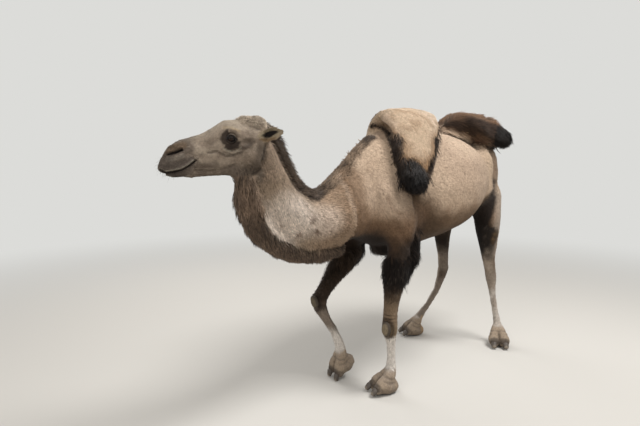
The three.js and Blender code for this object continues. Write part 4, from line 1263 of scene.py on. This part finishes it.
def growTufts(name, roots, way, across, long, wide, rings, shape, material, slot, *nodes):
    # Each tuft is a closed, three-sided blade: rings of three points and a tip. It sets out along way,
    # bows by arch along the skin's normal, sags under its weight, and sways across by wave. It takes its
    # shading from the skin under it by as much as soft says, as a mass of fine hairs does.
    arch, sag, wave, soft = (shape[key] for key in ("arch", "sag", "wave", "soft"))
    count = roots["size"]
    steps = np.linspace(0, 1, rings + 1)
    size = rings * 3 + 1
    blade, facing, patch = (np.empty((count, size, axes)) for axes in (3, 3, 2))
    phase = chance.random(count) * 6.28
    swing = chance.normal(0, 1, count)
    top = roots["normal"]
    for i, t in enumerate(steps):
        bow = arch * 4 * t * (1 - t) - 0.05 * (t == 0)
        middle = roots["at"] + way * (long * t)[:, None] + top * (long * bow)[:, None]
        middle = middle + across * (long * wave * (np.sin(phase + 5 * t) * t + 0.6 * swing * t * t))[:, None]
        middle[:, 2] -= long * sag * t * t
        half = wide / 2 * ((0.6, 1.0, 0.85, 0.6, 0.35) if rings > 2 else (0.75, 0.9, 0))[i]
        if i == rings:
            blade[:, -1] = middle
            facing[:, -1] = top
            patch[:, -1] = roots["map"] + (0, 0.0015)
            break
        for k, (sideways, lift) in enumerate(((-1, 0), (1, 0), (0, 0.7))):
            blade[:, i * 3 + k] = middle + across * (half * sideways)[:, None] + top * (half * lift)[:, None]
            facing[:, i * 3 + k] = across * sideways * 0.8 + top * (0.6 if lift else 0.2)
            patch[:, i * 3 + k] = roots["map"] + np.array((0.0013 * sideways, (t - 0.5) * 0.003))
    faces = [(0, 1, 2)]
    for i in range(rings):
        for a, b in ((i * 3, i * 3 + 1), (i * 3 + 1, i * 3 + 2), (i * 3 + 2, i * 3)):
            faces += [(a, a + 3, b), (b, a + 3, b + 3)] if i < rings - 1 else [(a, size - 1, b)]
    faces = np.array(faces)
    # If the three points of a ring run the wrong way round, the faces are turned.
    probe = blade[0]
    middle = probe.mean(0)
    outward = np.cross(probe[faces[:, 1]] - probe[faces[:, 0]], probe[faces[:, 2]] - probe[faces[:, 0]])
    if (outward * (probe[faces].mean(1) - middle)).sum() < 0:
        faces = faces[:, ::-1]
    allFaces = (faces[None] + (np.arange(count) * size)[:, None, None]).reshape(-1, 3)
    mesh = bpy.data.meshes.new(name)
    mesh.vertices.add(count * size)
    blade[:, :, 2] = np.maximum(blade[:, :, 2], 0.0005)
    mesh.vertices.foreach_set("co", blade.ravel())
    mesh.loops.add(len(allFaces) * 3)
    mesh.loops.foreach_set("vertex_index", allFaces.ravel())
    mesh.polygons.add(len(allFaces))
    mesh.polygons.foreach_set("loop_start", np.arange(len(allFaces)) * 3)
    mesh.update(calc_edges=True)
    facing = unit(unit(facing) * (1 - soft) + roots["skin"][:, None, :] * soft)
    mesh.normals_split_custom_set_from_vertices(facing.reshape(-1, 3))
    bakeMap = mesh.uv_layers.new(name="OFBake")
    bakeMap.data.foreach_set("uv", patch.reshape(-1, 2)[allFaces.ravel()].ravel())
    tint = chance.normal(1, roots["vary"], count)
    shade = np.clip(roots["colour"] * np.clip(tint, 0.5, 1.6)[:, None], 0.003, 1)
    tone = np.append(np.repeat(steps, 3)[: size - 1], 1.0) * 0.22 + 0.86  # darker roots, paler tips
    paint(mesh, (shade[:, None] * tone[None, :, None]).reshape(-1, 3))
    mesh.materials.append(material)
    piece = bpy.data.objects.new(name, mesh)
    scene.collection.objects.link(piece)
    finish(piece, slot, *nodes)
    print(name, len(allFaces), "faces")


def sizes(count, middle, vary=0.28):  # uneven sizes about a middle one, in metres
    return middle / 1000 * np.clip(chance.normal(1, vary, count), 0.45, 1.7)


bare = np.ones(len(points))  # where the short coat grows
for node, lock in hair.items():
    bare *= 1 - 0.7 * np.minimum(near[node] * 1.2, 1)
h = toHead(spots)
for thin in (  # round the eyes, along the lips and nostrils, and on the front of the muzzle
    smooth(eyeDistance(h), 19, 26), nearLine(h[:, 1:], mouthLine, 3, 7),
    nearLine(h[:, 1:], [(-456, -92), (-402, -74)], 4, 9), np.where(h[:, 1] < -478, 0.4, 1),
):
    bare *= np.where(isPart("head"), thin, 1)
bare *= smooth(points[:, 2], 0.004, 0.03)
shortCoat = {  # millimetres; "vary" is how uneven its colour is, and "lift" how far it stands off the skin
    "coat_trunk_left": {"on": ("trunk",), "side": 1, "count": 13000, "length": 20, "width": 3.2, "arch": 0.04,
                        "vary": 0.13, "lift": 0.08, "slot": "coat"},
    "coat_trunk_right": {"on": ("trunk",), "side": -1, "count": 12000, "length": 20, "width": 3.2,
                         "arch": 0.04, "vary": 0.13, "lift": 0.08, "slot": "coat"},
    "coat_neck": {"on": ("neck", "throat_mane"), "count": 14000, "length": 24, "width": 3.4, "arch": 0.06,
                  "vary": 0.22, "lift": 0.08, "slot": "coat"},
    "coat_hump_front": {"on": ("hump_front",), "count": 7000, "length": 26, "width": 3.6, "arch": 0.04,
                        "vary": 0.1, "lift": 0.08, "slot": "pale_coat"},
    "coat_hump_rear": {"on": ("hump_rear",), "count": 5500, "length": 52, "width": 4.6, "arch": 0.12,
                       "vary": 0.22, "lift": 0.38, "slot": "long_hair"},
    "coat_arms": {"on": ("leg_fore_left", "leg_fore_right", "chest"), "count": 5200, "length": 50,
                  "width": 4.6, "arch": 0.14, "vary": 0.25, "lift": 0.38, "slot": "long_hair"},
    "coat_legs": {"on": ("leg", "tail"), "count": 11500, "length": 18, "width": 3, "arch": 0.05,
                  "vary": 0.12, "lift": 0.08, "slot": "leg_coat"},
    "coat_head": {"on": ("head", "ear"), "count": 15000, "length": 9, "width": 1.6, "arch": 0.04,
                  "vary": 0.09, "lift": 0.08, "slot": "head_coat"},
    "coat_feet": {"on": ("foot",), "count": 4500, "length": 8, "width": 1.8, "arch": 0.04,
                  "vary": 0.08, "lift": 0.08, "slot": "foot_skin"},
}
for name, coat in shortCoat.items():
    share = bare * isPart(*coat["on"])
    if "side" in coat:
        share = share * (np.sign(points[:, 0] - 0.005) == coat["side"])
    if name == "coat_legs":  # thinner below the knees and hocks
        share = share * (0.5 + 0.9 * smooth(spots[:, 2], 520, 700))
    if name == "coat_arms":
        share = share * smooth(spots[:, 2], 640, 800)
    roots = rootsOn(coat["count"], share)
    q = layout(roots["at"])
    roots["vary"] = coat["vary"]
    patchy = 0.9 * coat["vary"] * blotches(q * (1, 1, 0.7), 24, 91, 2)
    roots["colour"] = roots["colour"] * (1 + patchy)[:, None]
    lie = lieOfCoat(roots)
    long = sizes(coat["count"], coat["length"])
    if name == "coat_arms":  # shorter and shorter towards the knee
        long *= 0.3 + 0.7 * smooth(q[:, 2] + 30 * blotches(q, 50, 93, 2), 690, 900)
    growTufts(
        name, roots, unit(lie + roots["normal"] * coat["lift"]), np.cross(roots["normal"], lie), long,
        sizes(coat["count"], coat["width"]), 2,
        {"arch": coat["arch"], "sag": 0.02, "wave": 0.05, "soft": 0.8},
        faceMaterial if name in ("coat_head", "coat_feet") else tuftMaterial, coat["slot"])


def roomFor(solid, start, way, longest):  # how far a lock can go before it leaves its solid
    spot, normal, _, _ = solid.find_nearest(start)
    inside = normal.dot(start - spot) < 0
    gone = 0.0
    for _ in range(4):
        spot, normal, _, far = solid.ray_cast(start + way * gone, way, longest - gone)
        if spot is None:
            return longest if inside else gone
        gone += far
        if normal.dot(way) > 0:
            return gone
        inside = True
        gone += 0.0005
    return gone


for node, lock in hair.items():
    roots = rootsOn(lock["count"], near[node])
    q = layout(roots["at"])
    roots["vary"] = 0.3
    # The rest of its colour is that of the markings.
    own = 0.0 if node in ("hump_rear_crest", "nape_mane", "crown_tuft") else 0.6
    shade = roots["colour"] * (1 - own) + paints[lock["colour"]] * own
    shade = shade * (1 + 0.3 * blotches(q, 60, 92, 2))[:, None]
    if node == "crown_tuft":
        shade = shade * 1.3
    lengths = np.ones(roots["size"])
    if node == "nape_mane":  # it ends on the withers
        lengths -= 0.55 * smooth(q[:, 1], -1230, -1060)
    if node == "throat_mane":  # painted shade under the jaw, and darker towards the chest
        underJaw = lineDistance(toHead(q)[:, 1:], [(-150, -215), (-71, -215), (-10, -180)])
        shade = shade * (1 - 0.4 * smooth(underJaw, 75, 10))[:, None]
        shade = shade * (0.85 + 0.5 * smooth(q[:, 2], 1250, 1420))[:, None]
    roots["colour"] = shade
    lie = lieOfCoat(roots)
    off, along, down = lock["lean"]
    if node == "throat_mane":  # below the jaw the hair hangs straight down
        high = smooth(q[:, 2], 1340, 1470)[:, None]
        plumb = np.array((0.0, 0.15, -1.0))
        hang = plumb - roots["normal"] * (roots["normal"] @ plumb)[:, None]
        lie = unit(lie * (1 - high) + hang * high)
        off, down = off * (1 - 0.75 * high), down * (1 - high)
    clump = np.stack([blotches(q, 55, seed, 2) for seed in (81, 82, 83)], 1)
    jitter = 0.26 * clump + chance.normal(0, 0.11, (roots["size"], 3))
    way = unit(roots["normal"] * off + lie * along + np.array((0, 0, -1.0)) * down + jitter)
    longest = lock["length"] / 1000
    long = [roomFor(solids[node], Vector(a), Vector(b), longest) for a, b in zip(roots["at"], way)]
    shaggy = "tip" in node or "elbow" in node
    past = 0.032 if shaggy else 0.014  # locks end a little outside their solid
    long = np.clip(np.array(long) + past, 0.3 * longest, longest)
    long = long * lengths * chance.uniform(0.75, 1.08, len(long)) * (1 + 0.22 * clump[:, 0])
    across = unit(np.cross(roots["normal"], way))
    roots["normal"] = unit(np.cross(way, across))
    growTufts(
        "hair_" + node, roots, way, across, long, sizes(roots["size"], lock["width"]),
        4 if longest > 0.05 else 3,
        {"arch": 0.07, "sag": 0.16 if shaggy else 0.07, "wave": 0.12, "soft": 0.45},
        tuftMaterial if node == "crown_tuft" else lockMaterial, "long_hair", node)
print("coat grown")


# Eyes, nails and callus pads.
def markedMaterial(name, roughness, grain, contrast, bump, **shader):  # markings with a fine grain over them
    material, tree, surface = newMaterial(name, Roughness=roughness, **shader)
    where = addNode(tree, "ShaderNodeTexCoord")
    specks = addNode(
        tree, "ShaderNodeTexNoise", {"Vector": where.outputs["Object"]},
        inputs={"Scale": 500 / grain, "Detail": 5.0, "Roughness": 0.6})
    varied(tree, surface, specks.outputs["Fac"], 0.3, 0.7, contrast)
    if bump:
        cracks = addNode(
            tree, "ShaderNodeTexVoronoi", {"Vector": where.outputs["Object"]}, feature="DISTANCE_TO_EDGE",
            inputs={"Scale": 1000 / (grain * 3)})
        height = addNode(
            tree, "ShaderNodeMath", {0: cracks.outputs["Distance"], 1: specks.outputs["Fac"]},
            operation="MULTIPLY")
        dent = addNode(
            tree, "ShaderNodeBump", {"Height": height.outputs[0]},
            inputs={"Strength": bump, "Distance": grain / 1000})
        tree.links.new(dent.outputs[0], surface.inputs["Normal"])
    return material


# Glassy black-brown, with a sharp glint.
wetEye = markedMaterial("wet_eye", 0.06, 1.5, 0.1, 0, IOR=1.36, Specular_IOR_Level=0.35)
hornMaterial = markedMaterial("worn_horn_of_the_nails", 0.5, 2, 0.25, 0.3)  # dull, streaked, a little waxy
callusMaterial = markedMaterial("callused_hide_of_the_pads", 0.78, 4, 0.22, 0.9)  # cracked like dry leather


def smoothCopy(node, name, swell):  # a rounded copy of a small solid
    piece = bpy.data.objects.new(name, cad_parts[node].data.copy())
    scene.collection.objects.link(piece)
    startEdit(piece)
    bpy.ops.mesh.remove_doubles(threshold=1e-5)
    bpy.ops.transform.shrink_fatten(value=swell / 1000)
    endEdit()
    rounded = piece.modifiers.new("rounded", "SUBSURF")
    rounded.levels = rounded.render_levels = 2
    bpy.ops.object.modifier_apply(modifier="rounded")
    bpy.ops.object.shade_smooth()
    piece.data.materials.clear()
    return piece


eyeball = {"radius": 20.6, "cornea": 2.4, "iris": 14.5, "pupil": (8.5, 4.2), "look": (0.93, -0.36, 0.05)}
eyePaints = {
    "white": "#1d1411", "rim": "#120b08", "iris": "#22140c", "irisPale": "#3a2414", "pupil": "#040303"}
eyePaints = {name: linear(colour) for name, colour in eyePaints.items()}
for side, word in ((1, "left"), (-1, "right")):
    low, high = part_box("eye_" + word)
    middle = np.array((low + high) / 2)
    outward = headTurn @ unit(np.array(eyeball["look"]) * (side, 1, 1))
    level = unit(np.cross(outward, (0, 0, 1)))
    upward = np.cross(level, outward)
    bpy.ops.object.select_all(action="DESELECT")
    bpy.ops.mesh.primitive_uv_sphere_add(
        segments=64, ring_count=40, radius=eyeball["radius"] / 1000, location=middle,
        rotation=Vector(outward).to_track_quat("Z", "Y").to_euler())
    globe = bpy.context.object
    globe.name = "eyeball_" + word
    bpy.ops.object.transform_apply(location=True, rotation=True, scale=True)
    p = vertexArray(globe.data)
    d = (p - middle) * 1000
    front = unit(d) @ outward
    setVertices(globe.data, p + outward * (eyeball["cornea"] / 1000 * smooth(front, 0.6, 0.95))[:, None])
    a, b = d @ level, d @ upward
    ring = np.hypot(a, b)
    streaks = 0.5 + 0.5 * np.sin(np.arctan2(b, a) * 37 + 3 * blotches(d, 6, 51, 2))
    tint = np.tile(eyePaints["white"], (len(p), 1))
    iris = towards(eyePaints["iris"], eyePaints["irisPale"], streaks * 0.6)
    tint = towards(tint, iris, smooth(ring, eyeball["iris"], eyeball["iris"] - 1.5) * (front > 0))
    tint = towards(tint, eyePaints["rim"], bell(ring - eyeball["iris"], 1.6) * (front > 0))
    wide, tall = eyeball["pupil"]
    ragged = 1 + 0.12 * np.sin(a * 2.1)  # the pupil's upper edge is uneven
    slit = smooth(np.hypot(a / wide, b / (tall * ragged)), 1.15, 0.9)
    tint = towards(tint, eyePaints["pupil"], slit * (front > 0))
    paint(globe.data, tint)
    bpy.ops.object.shade_smooth()
    globe.data.materials.append(wetEye)
    finish(globe, "eye", "eye_" + word)

nailPaints = {"root": linear("#2f2925"), "horn": linear("#4f463e"), "tip": linear("#8d8071")}
for leg in legs:
    for word in ("outer", "inner"):
        node = f"nail_{leg}_{word}"
        piece = smoothCopy(node, "claw" + node[4:], 2.5)
        p = vertexArray(piece.data)
        p[:, 2] = np.maximum(p[:, 2], 0.0003)
        setVertices(piece.data, p)
        q = layout(vertexArray(piece.data))
        f = toFoot(q, leg)
        tint = nailPaints["horn"] * (1 + 0.2 * blotches(q * (1, 1, 0.3), 9, 61, 2))[:, None]
        tint = towards(tint, nailPaints["root"], smooth(f[:, 1], -134, -122))
        worn = 0.8 * smooth(f[:, 1], -158, -172) + 0.3 * smooth(q[:, 2], 14, 2)
        tint = towards(tint, nailPaints["tip"], worn)
        paint(piece.data, np.clip(tint, 0.004, 1))
        piece.data.materials.append(hornMaterial)
        finish(piece, "nail", node)

padPaints = {"rim": linear("#40362b"), "middle": linear("#786a54"), "dark": linear("#4b4135")}
for node in ("knee_pad_left", "knee_pad_right"):
    piece = smoothCopy(node, node + "_callus", 2.0)
    low, high = (np.array(corner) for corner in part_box(node))
    p = vertexArray(piece.data)
    away = np.linalg.norm((p - (low + high) / 2)[:, [0, 2]] / ((high - low)[[0, 2]] / 2), axis=1)
    rough = blotches(layout(p), 20, 71, 3)
    tint = padPaints["middle"] * (1 + 0.2 * rough)[:, None] * (0.55 if node.endswith("right") else 1.0)
    tint = towards(tint, padPaints["dark"], 0.6 * smooth(rough, 0.2, 0.8))
    tint = towards(tint, padPaints["rim"], smooth(away, 0.62, 0.88))
    setVertices(piece.data, p + normalArray(piece.data) * (0.0014 * rough)[:, None])
    paint(piece.data, np.clip(tint, 0.004, 1))
    piece.data.materials.append(callusMaterial)
    finish(piece, "callus", node)
print("eyes, nails and pads made")

# Lashes and whiskers.
cornerMap = np.zeros((len(points), 2))
cornerMap[faceCorners.ravel()] = faceMap.reshape(-1, 2)
nearestSkin = nearestOf(points)


def rootsAt(where, colour):  # roots at given places on the skin
    nearest = np.array([nearestSkin.find(w)[1] for w in where])
    return {
        "at": np.asarray(where), "normal": normals[nearest], "skin": normals[nearest],
        "map": cornerMap[nearest], "colour": np.tile(linear(colour), (len(where), 1)),
        "size": len(where), "vary": 0.15,
    }


lashes = {"count": 46, "length": 25, "width": 1.1, "colour": "#191310"}
for side, word in ((1, "left"), (-1, "right")):
    t = np.linspace(-1.15, 1.15, lashes["count"]) + chance.normal(0, 0.02, lashes["count"])
    tilt = math.radians(eyes["tilt"])
    along, above = np.sin(t) * (eyes["long"] + 2.5), np.cos(t) * (eyes["tall"] + 2.0)
    u = along * math.cos(tilt) - above * math.sin(tilt)
    v = above * math.cos(tilt) + along * math.sin(tilt)
    x = eyes["deep"] + np.sqrt(eyes["lidRadius"] ** 2 - np.minimum(u**2 + v**2, 560)) + 2.5
    spots = np.stack([x * side, u + eyes["y"], v + eyes["z"]], 1)
    aim = np.stack([np.full(len(t), 0.8 * side), 0.75 * np.sin(t) - 0.15, np.full(len(t), -0.35)], 1)
    aim = unit(unit(aim) @ headTurn.T + chance.normal(0, 0.06, (len(t), 3)))
    roots = rootsAt(place(fromHead(spots)), lashes["colour"])
    across = unit(np.cross((0, 0, 1), aim))
    roots["normal"] = unit(np.cross(aim, across))
    long = sizes(len(t), lashes["length"], 0.15)
    growTufts(
        "lashes_" + word, roots, aim, across, long, sizes(len(t), lashes["width"], 0.1), 4,
        {"arch": 0.02, "sag": 0.5, "wave": 0.05, "soft": 0.0}, lockMaterial, "long_hair")

whiskers = {"count": 90, "length": 26, "width": 0.7, "colour": "#4a4036"}
h = toHead(layout(points))
onLips = isPart("head") & (h[:, 1] < -395) & (h[:, 2] < -118) & (h[:, 2] > -212)
roots = rootsOn(whiskers["count"], onLips * 1.0)
roots["vary"] = 0.1
roots["colour"] = np.tile(linear(whiskers["colour"]), (roots["size"], 1))
way = roots["normal"] + headTurn @ np.array((0, -0.25, -0.55))
way = unit(way + chance.normal(0, 0.12, (roots["size"], 3)))
across = unit(np.cross(roots["normal"] + (0.01, 0, 0.02), way))
roots["normal"] = unit(np.cross(way, across))
growTufts(
    "whiskers", roots, way, across, sizes(roots["size"], whiskers["length"]),
    sizes(roots["size"], whiskers["width"], 0.1), 4,
    {"arch": 0.02, "sag": 0.25, "wave": 0.05, "soft": 0.0}, lockMaterial, "long_hair")
print("lashes and whiskers grown")
